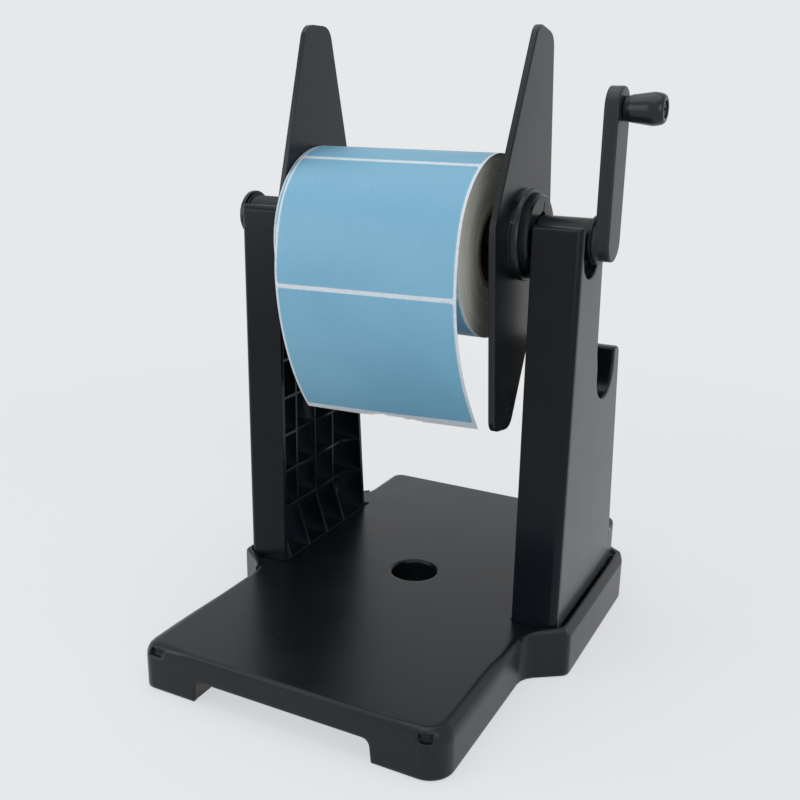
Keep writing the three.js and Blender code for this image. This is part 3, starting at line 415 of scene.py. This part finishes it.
def layered_edge():
    """The roll's side: cut edges of liner and label, turn on turn, with dust and a few turns standing proud."""
    paint = new_paint("layered_edge")
    place = paint.place()
    radius, angle = round_the_roll(paint, place)
    turns = (radius + angle * (TURN / (2 * math.pi))) / TURN
    line = abs((turns % 1.0) - 0.5) * 2.0
    bands = paint.noise(paint.vector(turns * 0.35, angle * 0.25), 1.0, 5.0, 0.7)
    proud = paint.noise(paint.vector(turns * 0.06, angle * 0.1, 3.0), 1.0, 3.0, 0.6)
    dust = paint.noise(place, 900.0, 4.0, 0.6)
    paper = paint.mix(bands.step(0.36, 0.66), rgb(166, 166, 153), rgb(190, 190, 177))
    paper = paint.mix(line.step(0.62, 0.92) * 0.22, paper, rgb(128, 146, 154))
    paper = paint.mix(proud.step(0.52, 0.68) * 0.3, paper, rgb(206, 207, 196))
    paper = paint.mix(dust.step(0.6, 0.75) * 0.15, paper, rgb(130, 126, 114))
    height = line * 0.04 * MM + bands * 0.08 * MM + proud * 0.12 * MM
    return paint.surface(colour=paper, roughness=0.78 + 0.12 * dust, normal=paint.bump(height, 1.0, 0.7))


# Pieces from the frame's own solids

SHARP = math.radians(33)  # edges that turn further than this stay sharp
FLAT = math.radians(0.4)  # and triangles that turn less than this are one face
SAME_POINT = 0.004 * MM


def clean_copy(node, suffix, material, cuts=None, reshape=None):
    """A copy of a CAD node with its triangles joined into faces, so that its round walls shade smoothly and its
    flat ones stay flat. cuts adds edges to its faces, and reshape moves its points."""
    source = frame["nodes"][node]
    mesh = source.data.copy()
    mesh.name = node + suffix
    shape = bmesh.new()
    shape.from_mesh(mesh)
    bmesh.ops.remove_doubles(shape, verts=shape.verts, dist=SAME_POINT)
    bmesh.ops.dissolve_limit(shape, angle_limit=FLAT, verts=shape.verts, edges=shape.edges)
    if cuts:
        cuts(shape)
    shape.to_mesh(mesh)
    shape.free()
    if reshape:
        reshape(mesh)
    mesh.shade_smooth()
    mesh.set_sharp_from_angle(angle=SHARP)
    mesh.materials.clear()
    mesh.materials.append(material)
    piece = bpy.data.objects.new(node + suffix, mesh)
    bpy.context.scene.collection.objects.link(piece)
    even = piece.modifiers.new("even_shading", "WEIGHTED_NORMAL")
    even.keep_sharp = True
    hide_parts(node)
    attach(piece, source["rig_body"])
    return piece


def dress(nodes, suffix, material):
    for node in nodes:
        clean_copy(node, suffix, material)


# The tray's front corners, in millimetres from the plate's middle. First the frame's own sizes.

TRAY_HALF = 83.0
TRAY_FRONT = -137.5
TRAY_TOP = 27.0
TRAY_CORNER = 7.5  # the corners' radius, seen from above
TRAY_EDGE = 3.5  # the upper edge's radius
DIMPLE_FLOOR = -133.0
DIMPLE_MIDDLE = 74.0  # from the plate's middle to a dimple's, sideways
DIMPLE_HALF = 4.0
DIMPLE_HEIGHTS = (19.0, 25.0)
WING_START = -56.0  # where the straight sides end, at the wings
NEAR = 0.2  # a point this near to a face lies on it

# Then the sizes that the corners are given.
CORNER_RIGHT = 12.5  # the rounder corner on the right
SIDE_ROUND = (5.5, 9.0)  # the right side's upper edge, a quarter ellipse, width and height
SIDE_FADE = (-78, -60)  # where that edge fades, along the side
LEFT_OUT = 5.0  # how far the left corner stands out under its upper edge
LEFT_ROUND = 10.0  # the height over which it comes out
LEFT_FADE = (-112, -60)  # where it fades, along the side
LEFT_BLEND = (58, 69)  # and along the front
FRONT_KEEN = 0.4  # the share of its radius that the front's upper edge keeps
KEEN_BLEND = (56, 68)
SKIN = 1.2  # between the right corner's outer and inner faces
DIMPLE_DEPTH = 2.4

# Where the faces near the corners are cut into rows: heights, places along the sides, places along the front.
CUT_REGION = (58 * MM, -50 * MM)  # further sideways and further forward than this
CUTS = {
    2: (8, 17, 18.5, 20, 21.5, 22.6),
    1: (-127.5, -126.2, -125, -112, -99, -86, -73, -62),
    0: (-68, -64, -60, -56, 56, 60, 64, 68, 70.5, 72, 73.3, 74.5, 76),
}
LEVEL_NORMAL = 0.99  # faces that look straight up or down aren't cut


def tray_cuts(shape):
    """Rows of edges round the front corners, where the sides are to be rounder."""
    def near_corner(point):
        return point.y < CUT_REGION[1] and abs(point.x - plate_x) > CUT_REGION[0]

    def cut(axis, place):
        faces = [f for f in shape.faces
                 if abs(f.normal.z) < LEVEL_NORMAL and any(near_corner(v.co) for v in f.verts)]
        edges = {e for f in faces for e in f.edges}
        corners = {v for f in faces for v in f.verts}
        origin, normal = [plate_x, 0, 0], [0, 0, 0]
        origin[axis] += place * MM
        normal[axis] = 1
        bmesh.ops.bisect_plane(shape, geom=[*faces, *edges, *corners], dist=1e-7, plane_co=origin, plane_no=normal)

    for axis, places in CUTS.items():
        for place in places:
            cut(axis, place)


def quarter(z, height):
    """How far a rounded upper edge of that height has come in at z, as a share of its width: 1 - sqrt(1 - rise^2),
    where rise goes from 0 at its foot to 1 at the tray's top."""
    rise = np.clip((z - TRAY_TOP + height) / height, 0, 1)
    return 1 - np.sqrt(1 - rise * rise)


def tray_reshape(mesh):
    """Rounds the tray's front corners. Points on the outer faces move in plan. At the right, the corner becomes an
    arc of CORNER_RIGHT, and the side's upper edge the quarter ellipse SIDE_ROUND. At the left, the side leans out to
    LEFT_OUT below its upper edge, fading along the side. The front's upper edge becomes keener, the inner faces keep
    SKIN behind the right corner, and the dimples become shallow."""
    points = np.empty(len(mesh.vertices) * 3)
    mesh.vertices.foreach_get("co", points)
    points = points.reshape(-1, 3)
    x, y, z = (points / MM).T
    x = x - plate_x / MM
    inset = TRAY_EDGE * quarter(z, TRAY_EDGE)
    middle_x, middle_y = TRAY_HALF - TRAY_CORNER, TRAY_FRONT + TRAY_CORNER
    on_side = (abs(abs(x) - TRAY_HALF + inset) < NEAR) & (y >= middle_y - NEAR) & (y < WING_START)
    on_front = (abs(y - TRAY_FRONT - inset) < NEAR) & (abs(x) <= middle_x + NEAR)
    arc = np.hypot(abs(x) - middle_x, y - middle_y)
    on_arc = (abs(arc - TRAY_CORNER + inset) < NEAR) & (abs(x) >= middle_x - NEAR) & (y <= middle_y + NEAR)
    on_dimple = ((abs(y - DIMPLE_FLOOR) < NEAR / 4) & (abs(abs(x) - DIMPLE_MIDDLE) < DIMPLE_HALF)
                 & (z > DIMPLE_HEIGHTS[0]) & (z < DIMPLE_HEIGHTS[1]))
    outer = on_side | on_front | on_arc | on_dimple
    surface_y = np.where(on_dimple, TRAY_FRONT, y)
    depth = np.where(on_dimple, DIMPLE_DEPTH, 0)

    centre_x, centre_y = TRAY_HALF - CORNER_RIGHT, TRAY_FRONT + CORNER_RIGHT
    side_inset = SIDE_ROUND[0] * quarter(z, SIDE_ROUND[1])
    in_corner = outer & (x > centre_x) & (surface_y < centre_y)
    way = np.arctan2(x - centre_x, centre_y - surface_y)
    turned = smooth(way, 0, math.pi / 2)
    reach = CORNER_RIGHT - inset - (side_inset - inset) * turned - depth
    along_side = outer & on_side & (x > 0) & (surface_y >= centre_y)
    fading = 1 - smooth(y, *SIDE_FADE)
    new_x = np.where(in_corner, centre_x + reach * np.sin(way), x)
    new_y = np.where(in_corner, centre_y - reach * np.cos(way), np.where(on_dimple, TRAY_FRONT + DIMPLE_DEPTH, y))
    new_x = np.where(along_side, x - (side_inset - inset) * fading, new_x)

    out = LEFT_OUT - (LEFT_OUT + TRAY_EDGE) * quarter(z, LEFT_ROUND) + inset
    share = smooth(-x, *LEFT_BLEND) * (1 - smooth(y, *LEFT_FADE))
    new_x = np.where(outer & (x < 0), x - out * share, new_x)

    limit = CORNER_RIGHT - inset - (side_inset - inset) * turned - SKIN
    from_centre = np.maximum(np.hypot(x - centre_x, y - centre_y), NEAR)
    pull = np.minimum(1, limit / from_centre)
    inner = ~outer & (x > centre_x) & (y < centre_y)
    new_x = np.where(inner, centre_x + (x - centre_x) * pull, new_x)
    new_y = np.where(inner, centre_y + (y - centre_y) * pull, new_y)

    keen = 1 - (1 - FRONT_KEEN) * (1 - smooth(abs(x), *KEEN_BLEND))
    on_lip = on_front & (z > TRAY_TOP - TRAY_EDGE - NEAR / 4) & (abs(x) < KEEN_BLEND[1])
    new_y = np.where(on_lip, TRAY_FRONT + inset * keen, new_y)
    new_z = np.where(on_lip, TRAY_TOP - (TRAY_TOP - z) * keen, z)
    points[:, 0] = plate_x + new_x * MM
    points[:, 1] = new_y * MM
    points[:, 2] = new_z * MM
    mesh.vertices.foreach_set("co", points.ravel())
    mesh.update()


# Pieces made from formulas

def grid_mesh(name, points, closed_rows=False, capped=False):
    """A mesh from an array of points [row, column, 3] whose columns close into rings. closed_rows joins the last row
    to the first. capped closes the ends of flat rings, whose second half lies behind the first in reverse order."""
    rows, columns = points.shape[:2]
    number = np.arange(rows * columns).reshape(rows, columns)
    if closed_rows:
        number = np.concatenate([number, number[:1]])
    number = np.concatenate([number, number[:, :1]], axis=1)
    quads = np.stack([number[:-1, :-1], number[:-1, 1:], number[1:, 1:], number[1:, :-1]], axis=-1).reshape(-1, 4)
    if capped:
        for row, turned in ((number[0], False), (number[-1], True)):
            front, back = row[:columns // 2], row[columns // 2:columns][::-1]
            cap = np.stack([front[:-1], back[:-1], back[1:], front[1:]], axis=-1)
            quads = np.concatenate([quads, cap[:, ::-1] if turned else cap])
    mesh = bpy.data.meshes.new(name)
    mesh.from_pydata(points.reshape(-1, 3).tolist(), [], quads.tolist())
    mesh.update()
    return mesh


def inside_out(mesh):
    """True if a closed mesh's faces point inwards: the sum of its signed volumes is negative."""
    mesh.calc_loop_triangles()
    points = np.empty(len(mesh.vertices) * 3)
    mesh.vertices.foreach_get("co", points)
    corners = np.empty(len(mesh.loop_triangles) * 3, dtype=int)
    mesh.loop_triangles.foreach_get("vertices", corners)
    a, b, c = points.reshape(-1, 3)[corners.reshape(-1, 3)].transpose(1, 0, 2)
    return np.einsum("ij,ij->i", a, np.cross(b, c)).sum() < 0


def finish_surface(mesh):
    """Turns the faces of a closed mesh outwards, and shades them smoothly but for the sharp edges."""
    if inside_out(mesh):
        mesh.flip_normals()
    mesh.shade_smooth()
    mesh.set_sharp_from_angle(angle=SHARP)


def add_paper(name, mesh, replaced, web, materials, which):
    """Adds a piece of the roll. web is stored at its points for the print, and which is each face's material."""
    finish_surface(mesh)
    layer = mesh.attributes.new("web", "FLOAT_VECTOR", "POINT")
    layer.data.foreach_set("vector", np.ascontiguousarray(web, dtype=np.float32).ravel())
    for material in materials:
        mesh.materials.append(material)
    mesh.polygons.foreach_set("material_index", which)
    piece = bpy.data.objects.new(name, mesh)
    bpy.context.scene.collection.objects.link(piece)
    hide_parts(replaced)
    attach(piece, "roll")


def smooth(value, start, end):
    """0 up to start, 1 past end, and smooth between them."""
    t = np.clip((value - start) / (end - start), 0, 1)
    return t * t * (3 - 2 * t)


# The crank's knob

KNOB_STEPS = 72
KNOB_BORE = 2.5 * MM  # these five are radii
KNOB_NECK = 5.8 * MM
KNOB_BELLY = 7.5 * MM
KNOB_END = 5.0 * MM
KNOB_MOUTH = 4.1 * MM  # the recess in its end
RECESS_DEEP = 2.6 * MM
KNOB_CONE = 12.6 * MM  # where its cone ends, from the arm's side
RING_END = 0.5 * MM  # where the ring on its neck ends
GROOVE_DEEP = 0.35 * MM  # the groove behind that ring
GROOVE_FROM = 1.2 * MM
GROOVE_TO = 3.5 * MM


def make_knob(material):
    """The knob, turned about the crank's pin: a neck ring, a straight cone out to the belly, a round end, with
    r = end + (belly - end) cos(a)^0.8 at x = cone + (length - cone) sin(a), and a recess over the pin's head."""
    middle_line = middle("crank_knob")
    start, end = span("crank_knob", 0)
    length = end - start
    a = np.linspace(0, math.pi / 2, 14)
    cone = np.linspace(RING_END, KNOB_CONE, 12)
    groove = smooth(cone, RING_END, GROOVE_FROM) * (1 - smooth(cone, GROOVE_FROM, GROOVE_TO))
    neck = KNOB_NECK - GROOVE_DEEP * groove
    x = np.concatenate([[0, 0, 0.25 * MM], cone, KNOB_CONE + (length - KNOB_CONE) * np.sin(a[1:]),
                        [length - 0.15 * MM, length - 1.2 * MM, length - RECESS_DEEP, length - RECESS_DEEP]])
    r = np.concatenate([[KNOB_BORE, KNOB_NECK - 0.3 * MM, KNOB_NECK],
                        neck + (KNOB_BELLY - KNOB_NECK) * cone / KNOB_CONE,
                        KNOB_END + (KNOB_BELLY - KNOB_END) * np.cos(a[1:]).clip(0) ** 0.8,
                        [KNOB_MOUTH, KNOB_MOUTH, KNOB_MOUTH, KNOB_BORE]])
    turn = np.linspace(0, 2 * math.pi, KNOB_STEPS, endpoint=False)[:, None]
    points = np.stack(np.broadcast_arrays(start + x, middle_line.y + r * np.cos(turn),
                                          middle_line.z + r * np.sin(turn)), axis=-1)
    mesh = grid_mesh("crank_knob_turned", points, closed_rows=True)
    finish_surface(mesh)
    mesh.materials.append(material)
    piece = bpy.data.objects.new("crank_knob_turned", mesh)
    bpy.context.scene.collection.objects.link(piece)
    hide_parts("crank_knob")
    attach(piece, frame["nodes"]["crank_knob"]["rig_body"])


# The wound turns

WEB_THICK = 0.22 * MM
WOUND_RADIUS = roll_radius - 0.5 * MM
WEB_RADIUS = WOUND_RADIUS + 0.02 * MM + WEB_THICK / 2
LEAVES_AT = math.radians(76)  # from the crest, forwards: where the tail springs off the roll
ROLL_STEPS = 360
SIDE_RINGS = 40
TURN_RINGS = 26
EDGE_SOFT = 0.25 * MM
WOUND_INSET = 0.12 * MM
MARGIN_LEFT = 0.9 * MM  # bare liner beside the labels
MARGIN_RIGHT = 1.5 * MM


def wound_profile():
    """x and r round the roll's section: out along one side, over a soft edge, along the outer turn, and down the
    other side."""
    left, right = roll_left + WOUND_INSET, roll_right - WOUND_INSET
    inner, outer = core_radius + 0.25 * MM, WOUND_RADIUS
    side = np.linspace(inner, outer - EDGE_SOFT, SIDE_RINGS)
    arc = np.linspace(0, math.pi / 2, 4)
    run = np.linspace(left + EDGE_SOFT, right - EDGE_SOFT, TURN_RINGS)
    x = np.concatenate([np.full(SIDE_RINGS, left), left + EDGE_SOFT * (1 - np.cos(arc[1:])), run[1:-1],
                        right - EDGE_SOFT * (1 - np.sin(arc[:-1])), np.full(SIDE_RINGS, right)])
    r = np.concatenate([side, outer - EDGE_SOFT * (1 - np.sin(arc[1:])), np.full(TURN_RINGS - 2, outer),
                        outer - EDGE_SOFT * (1 - np.cos(arc[:-1])), side[::-1]])
    return x, r


def make_roll(print_material, edge_material):
    """The wound roll, a closed ring: the profile turned about the core's middle line. Its turns wander sideways, as
    x = side * (0.05 sin(2 r) + 0.04 sin(5.2 r + angle) + 0.02 sin(9.7 r + 2 angle)), in millimetres."""
    x, r = wound_profile()
    turn = np.linspace(LEAVES_AT - 2 * math.pi, LEAVES_AT, ROLL_STEPS, endpoint=False)[:, None]
    side = np.sign(x - (roll_left + roll_right) / 2) * (r < WOUND_RADIUS - EDGE_SOFT / 2)
    mm = r / MM
    wander = 0.05 * np.sin(2 * mm) + 0.04 * np.sin(5.2 * mm + turn) + 0.02 * np.sin(9.7 * mm + 2 * turn)
    points = np.stack([x + side * wander * MM, roll_centre.y - r * np.sin(turn), roll_centre.z + r * np.cos(turn)],
                      axis=-1)
    across = (x - roll_left - MARGIN_LEFT) / (roll_right - roll_left - MARGIN_LEFT - MARGIN_RIGHT) - 0.5
    web = np.stack(np.broadcast_arrays(across * LABEL_WIDTH, label_place(turn * WOUND_RADIUS), 1.0), axis=-1)
    rings = len(x)
    number = np.arange(rings)
    on_side = (number < SIDE_RINGS) | (number >= rings - SIDE_RINGS - 1)
    add_paper("label_roll_wound", grid_mesh("label_roll_wound", points, closed_rows=True), "label_roll",
              web, [print_material, edge_material], np.tile(on_side.astype(np.int32), ROLL_STEPS))


# The outer turn and the tail

TURN_ROWS = 130
TAIL_ROWS = 130
COLUMNS = 160
TAIL_LENGTH = 113 * MM
STARTS_AFTER = 0.05  # radians of bare roll under the place where the tail leaves
START_TAPER = 12 * MM
WEB_LEFT = 1.5 * MM  # how far the tail's left edge lies inside the roll's
WEB_SKEW = 0.7 * MM  # and how much further on top of the roll
WEB_RIGHT = 0.25 * MM  # how far its right edge stands out
BARE_LEFT = 1.1 * MM  # bare liner beside the labels
BARE_RIGHT = 1.45 * MM
TWIST = 1.7 * MM
RIPPLE = 0.2 * MM
LABEL_SLANT = 0.02  # the gaps on the tail run this far off level


def web_path():
    """The middle line of the outer turn and the tail, seen from the side. s runs along it, 0 at the crest. On the
    roll, lean = s / radius - 90 degrees from plumb. From 76 degrees past the crest the paper springs off with half
    that curl: lean = -14 + 0.626 t - 0.0014 t^2, in degrees, t in millimetres from there."""
    leaves = LEAVES_AT * WEB_RADIUS
    s = np.linspace(leaves - (2 * math.pi - STARTS_AFTER) * WEB_RADIUS, leaves + TAIL_LENGTH, 2400)
    t = np.maximum(s - leaves, 0) / MM
    lean = np.where(s < leaves, s / WEB_RADIUS, LEAVES_AT + np.radians(0.626 * t - 0.0014 * t * t)) - math.pi / 2
    between = (lean[1:] + lean[:-1]) / 2
    start = s[0] / WEB_RADIUS
    y = roll_centre.y - WEB_RADIUS * math.sin(start) + np.concatenate([[0], np.cumsum(np.sin(between) * np.diff(s))])
    z = roll_centre.z + WEB_RADIUS * math.cos(start) - np.concatenate([[0], np.cumsum(np.cos(between) * np.diff(s))])
    return s, y, z, lean


# The gaps between labels, measured on the photograph, along the outer turn from the roll's crest
FIRST_GAP = 21.5 * MM
SECOND_GAP = 93.2 * MM
THIRD_GAP = 170.6 * MM


def label_place(s):
    """The place in the printed pattern: 0, 1 and 2 pitches at the three gaps seen, and even between them."""
    gaps = [FIRST_GAP - LABEL_PITCH, FIRST_GAP, SECOND_GAP, THIRD_GAP, THIRD_GAP + LABEL_PITCH]
    pitches = np.array([-1, 0, 1, 2, 3]) * LABEL_PITCH
    return np.where(s < gaps[0], s - FIRST_GAP, np.interp(s, gaps, pitches))


def torn_end(x):
    """Where the liner is torn off, s in metres at x from the web's middle: slow waves, faster ones and fibres."""
    x = x / MM
    slow = 174.6 + 3.1 * np.cos(2 * math.pi * (x + 29) / 64) + 0.9 * np.sin(0.21 * x + 0.4)
    quick = 0.35 * np.sin(0.62 * x + 0.9) + 0.22 * np.sin(1.13 * x + 1.7)
    fibres = 0.12 * np.sin(2.9 * x) + 0.1 * np.sin(4.7 * x + 1.1)
    return (slow + quick + fibres) * MM


def make_tail(print_material, back_material):
    """The outer turn and the tail, one thin sheet along the path. Columns run across its front from left to right
    and back behind it, and rows run along it to the tear. The tail is twisted: its right side lies up to TWIST
    further back and its left side as much forward. It also ripples by RIPPLE * sin(60 x + 25 past)."""
    s, y, z, lean = web_path()
    leaves = LEAVES_AT * WEB_RADIUS
    u = np.concatenate([np.linspace(-1, 1, COLUMNS), np.linspace(1, -1, COLUMNS)])[None, :]
    end = torn_end(u * (roll_right - roll_left) / 2)
    turn = s[0] + np.linspace(0, 1, TURN_ROWS, endpoint=False)[:, None] * (leaves - s[0]) + 0 * u
    tail = leaves + np.linspace(0, 1, TAIL_ROWS)[:, None] * (end - leaves)
    along = np.concatenate([turn, tail])
    skew = smooth(along, s[0], 0) * (1 - smooth(along, 62 * MM, 90 * MM))
    left = roll_left + WEB_LEFT + WEB_SKEW * skew
    right = roll_right + WEB_RIGHT
    x = left + (right - left) * (u + 1) / 2
    angle = np.interp(along, s, lean)
    past = along - leaves
    twist = -TWIST * u * smooth(past, 40 * MM, 110 * MM)
    ripple = RIPPLE * np.sin(60 * x + 25 * past) * smooth(past, 0, 60 * MM)
    taper = smooth(along, s[0], s[0] + START_TAPER)
    is_front = np.repeat([True, False], COLUMNS)[None, :]
    outward = np.where(is_front, WEB_THICK * (taper - 0.5), -WEB_THICK / 2) + twist + ripple
    points = np.stack([x, np.interp(along, s, y) - outward * np.cos(angle),
                       np.interp(along, s, z) - outward * np.sin(angle)], axis=-1)
    label_left = left + BARE_LEFT
    label_right = right - BARE_RIGHT
    across = ((x - label_left) / (label_right - label_left) - 0.5) * LABEL_WIDTH
    slant = LABEL_SLANT * (x - (left + right) / 2) * smooth(along, 30 * MM, 95 * MM)
    web = np.stack([across, label_place(along + slant), end - along], axis=-1)
    rows = len(along)
    behind = np.tile((np.arange(2 * COLUMNS) >= COLUMNS - 1).astype(np.int32), rows - 1)
    caps = np.ones(2 * (COLUMNS - 1), dtype=np.int32)
    add_paper("label_tail_torn", grid_mesh("label_tail_torn", points, capped=True), "label_tail",
              web, [print_material, back_material], np.concatenate([behind, caps]))


# Stage

BACKDROP = rgb(231, 232, 234)
SOFT_LIGHT = (0.96, 0.98, 1.0, 1.0)
SOFT_STRENGTH = 0.62
FLOOR_REACH = 6.0
FLOOR_SHADOW = 0.28  # the share of the seen floor that the lamps light, and shadows darken
SHADOW_NEAR = 0.3
SHADOW_FAR = 0.75
DARK_NEAR = 0.05  # under the base the whole floor is lit and shaded
DARK_FAR = 0.085


def seen_directly(paint):
    """1 for what the camera sees, straight, in gloss or through glass, and 0 for light on the object."""
    rays = [paint.node("ShaderNodeLightPath", output=kind + " Ray")
            for kind in ("Is Camera", "Is Glossy", "Is Transmission")]
    return rays[0].above(rays[1]).above(rays[2])


def make_floor():
    """A pale level floor, which keeps a soft shadow and fades into the backdrop."""
    reach = FLOOR_REACH
    mesh = bpy.data.meshes.new("floor")
    mesh.from_pydata([(-reach, -reach, 0), (reach, -reach, 0), (reach, reach, 0), (-reach, reach, 0)], [],
                     [(0, 1, 2, 3)])
    paint = new_paint("pale_floor")
    x, y = paint.parts(paint.place())[:2]
    away = ((x - plate_x) * (x - plate_x) + y * y).root()
    plain = paint.node("ShaderNodeEmission", {}, {"Color": BACKDROP, "Strength": 1.0})
    lit = paint.node("ShaderNodeBsdfDiffuse", {}, {"Color": rgb(230, 231, 233)})
    under_base = 1 - away.step(DARK_NEAR, DARK_FAR)
    lit_share = FLOOR_SHADOW * (1 - away.step(SHADOW_NEAR, SHADOW_FAR)) + (1 - FLOOR_SHADOW) * under_base
    share = seen_directly(paint) * (1 - lit_share)
    mesh.materials.append(paint.finish(paint.node("ShaderNodeMixShader", {}, {0: share, 1: lit, 2: plain})))
    floor = bpy.data.objects.new("floor", mesh)
    bpy.context.scene.collection.objects.link(floor)


def make_world():
    """Pale behind the object and in its gloss, and an even soft light on it."""
    world = bpy.data.worlds.new("studio")
    paint = Paint(world)
    shown = paint.node("ShaderNodeBackground", {}, {"Color": BACKDROP, "Strength": 1.0})
    light = paint.node("ShaderNodeBackground", {}, {"Color": SOFT_LIGHT, "Strength": SOFT_STRENGTH})
    paint.finish(paint.node("ShaderNodeMixShader", {}, {0: seen_directly(paint), 1: light, 2: shown}),
                 "ShaderNodeOutputWorld")
    bpy.context.scene.world = world


def add_lamp(name, place, size, power):
    light = bpy.data.lights.new(name, "AREA")
    light.shape = "RECTANGLE"
    light.size, light.size_y = size
    light.energy = power
    lamp = bpy.data.objects.new(name, light)
    place = Vector(place) + Vector((plate_x, 0, 0))
    aim = (Vector((plate_x, 0, 0.16)) - place).to_track_quat("-Z", "Y")
    lamp.matrix_world = Matrix.Translation(place) @ aim.to_matrix().to_4x4()
    lamp.visible_camera = False
    bpy.context.scene.collection.objects.link(lamp)


def make_lights():
    add_lamp("top_softbox", (-0.1, -0.15, 1.35), (1.3, 1.3), 7.0)
    add_lamp("front_left_softbox", (-1.0, -1.2, 0.5), (0.9, 0.9), 5.5)
    add_lamp("front_right_softbox", (1.05, -0.95, 0.45), (0.9, 0.9), 4.5)


# The object

def dress_stand():
    tray = moulded_plastic("tray_moulding", rgb(12, 17, 20), 0.29, 0.31, edge=2.2 * MM)
    clean_copy("base_plate", "_moulding", tray, tray_cuts, tray_reshape)
    # hollow and side are painted light: paler cell bottoms and paler outward faces.
    upright = moulded_plastic("upright_moulding", rgb(12, 16, 22), 0.24, 0.16, hollow_light=rgb(44, 49, 57),
                              side=rgb(72, 74, 75))
    dress(["left_upright", "right_upright"], "_moulding", upright)
    dress([n for n in frame["nodes"] if n.startswith("foot_")], "_pad", rubber_sole())
    dress([n for n in frame["nodes"] if "_screw_" in n], "_steel", zinc_steel())


def dress_spindle():
    satin = moulded_plastic("spindle_moulding", rgb(24, 29, 31), 0.3, 0.33, 0.7, 0.4 * MM)
    dress(["spindle_bar", "spindle_end_cap"], "_moulding", satin)
    arm = moulded_plastic("crank_moulding", rgb(28, 33, 35), 0.32, 0.28, 0.7, 1.8 * MM)
    dress(["crank_arm"], "_moulding", arm)
    make_knob(moulded_plastic("knob_moulding", rgb(20, 24, 26), 0.24, 0.34, 0.4, 0.4 * MM))
    dress(["knob_pin"], "_steel", blackened_steel())
    collar = moulded_plastic("collar_moulding", rgb(13, 17, 20), 0.28, 0.22, 0.5, 0.4 * MM)
    dress(["left_bush", "right_bush", "left_hub_collar", "right_hub_collar"], "_moulding", collar)
    blade = moulded_plastic("blade_moulding", rgb(18, 23, 25), 0.28, 0.3, 0.8)
    dress(["left_flange", "right_flange"], "_moulding", blade)


def dress_roll():
    dress(["label_core"], "_board", wound_board())
    web = web_print("label_web")
    make_roll(web, layered_edge())
    make_tail(web, liner_back())


make_camera()
make_world()
make_floor()
make_lights()
dress_stand()
dress_spindle()
dress_roll()

bpy.context.scene.view_settings.view_transform = "Standard"
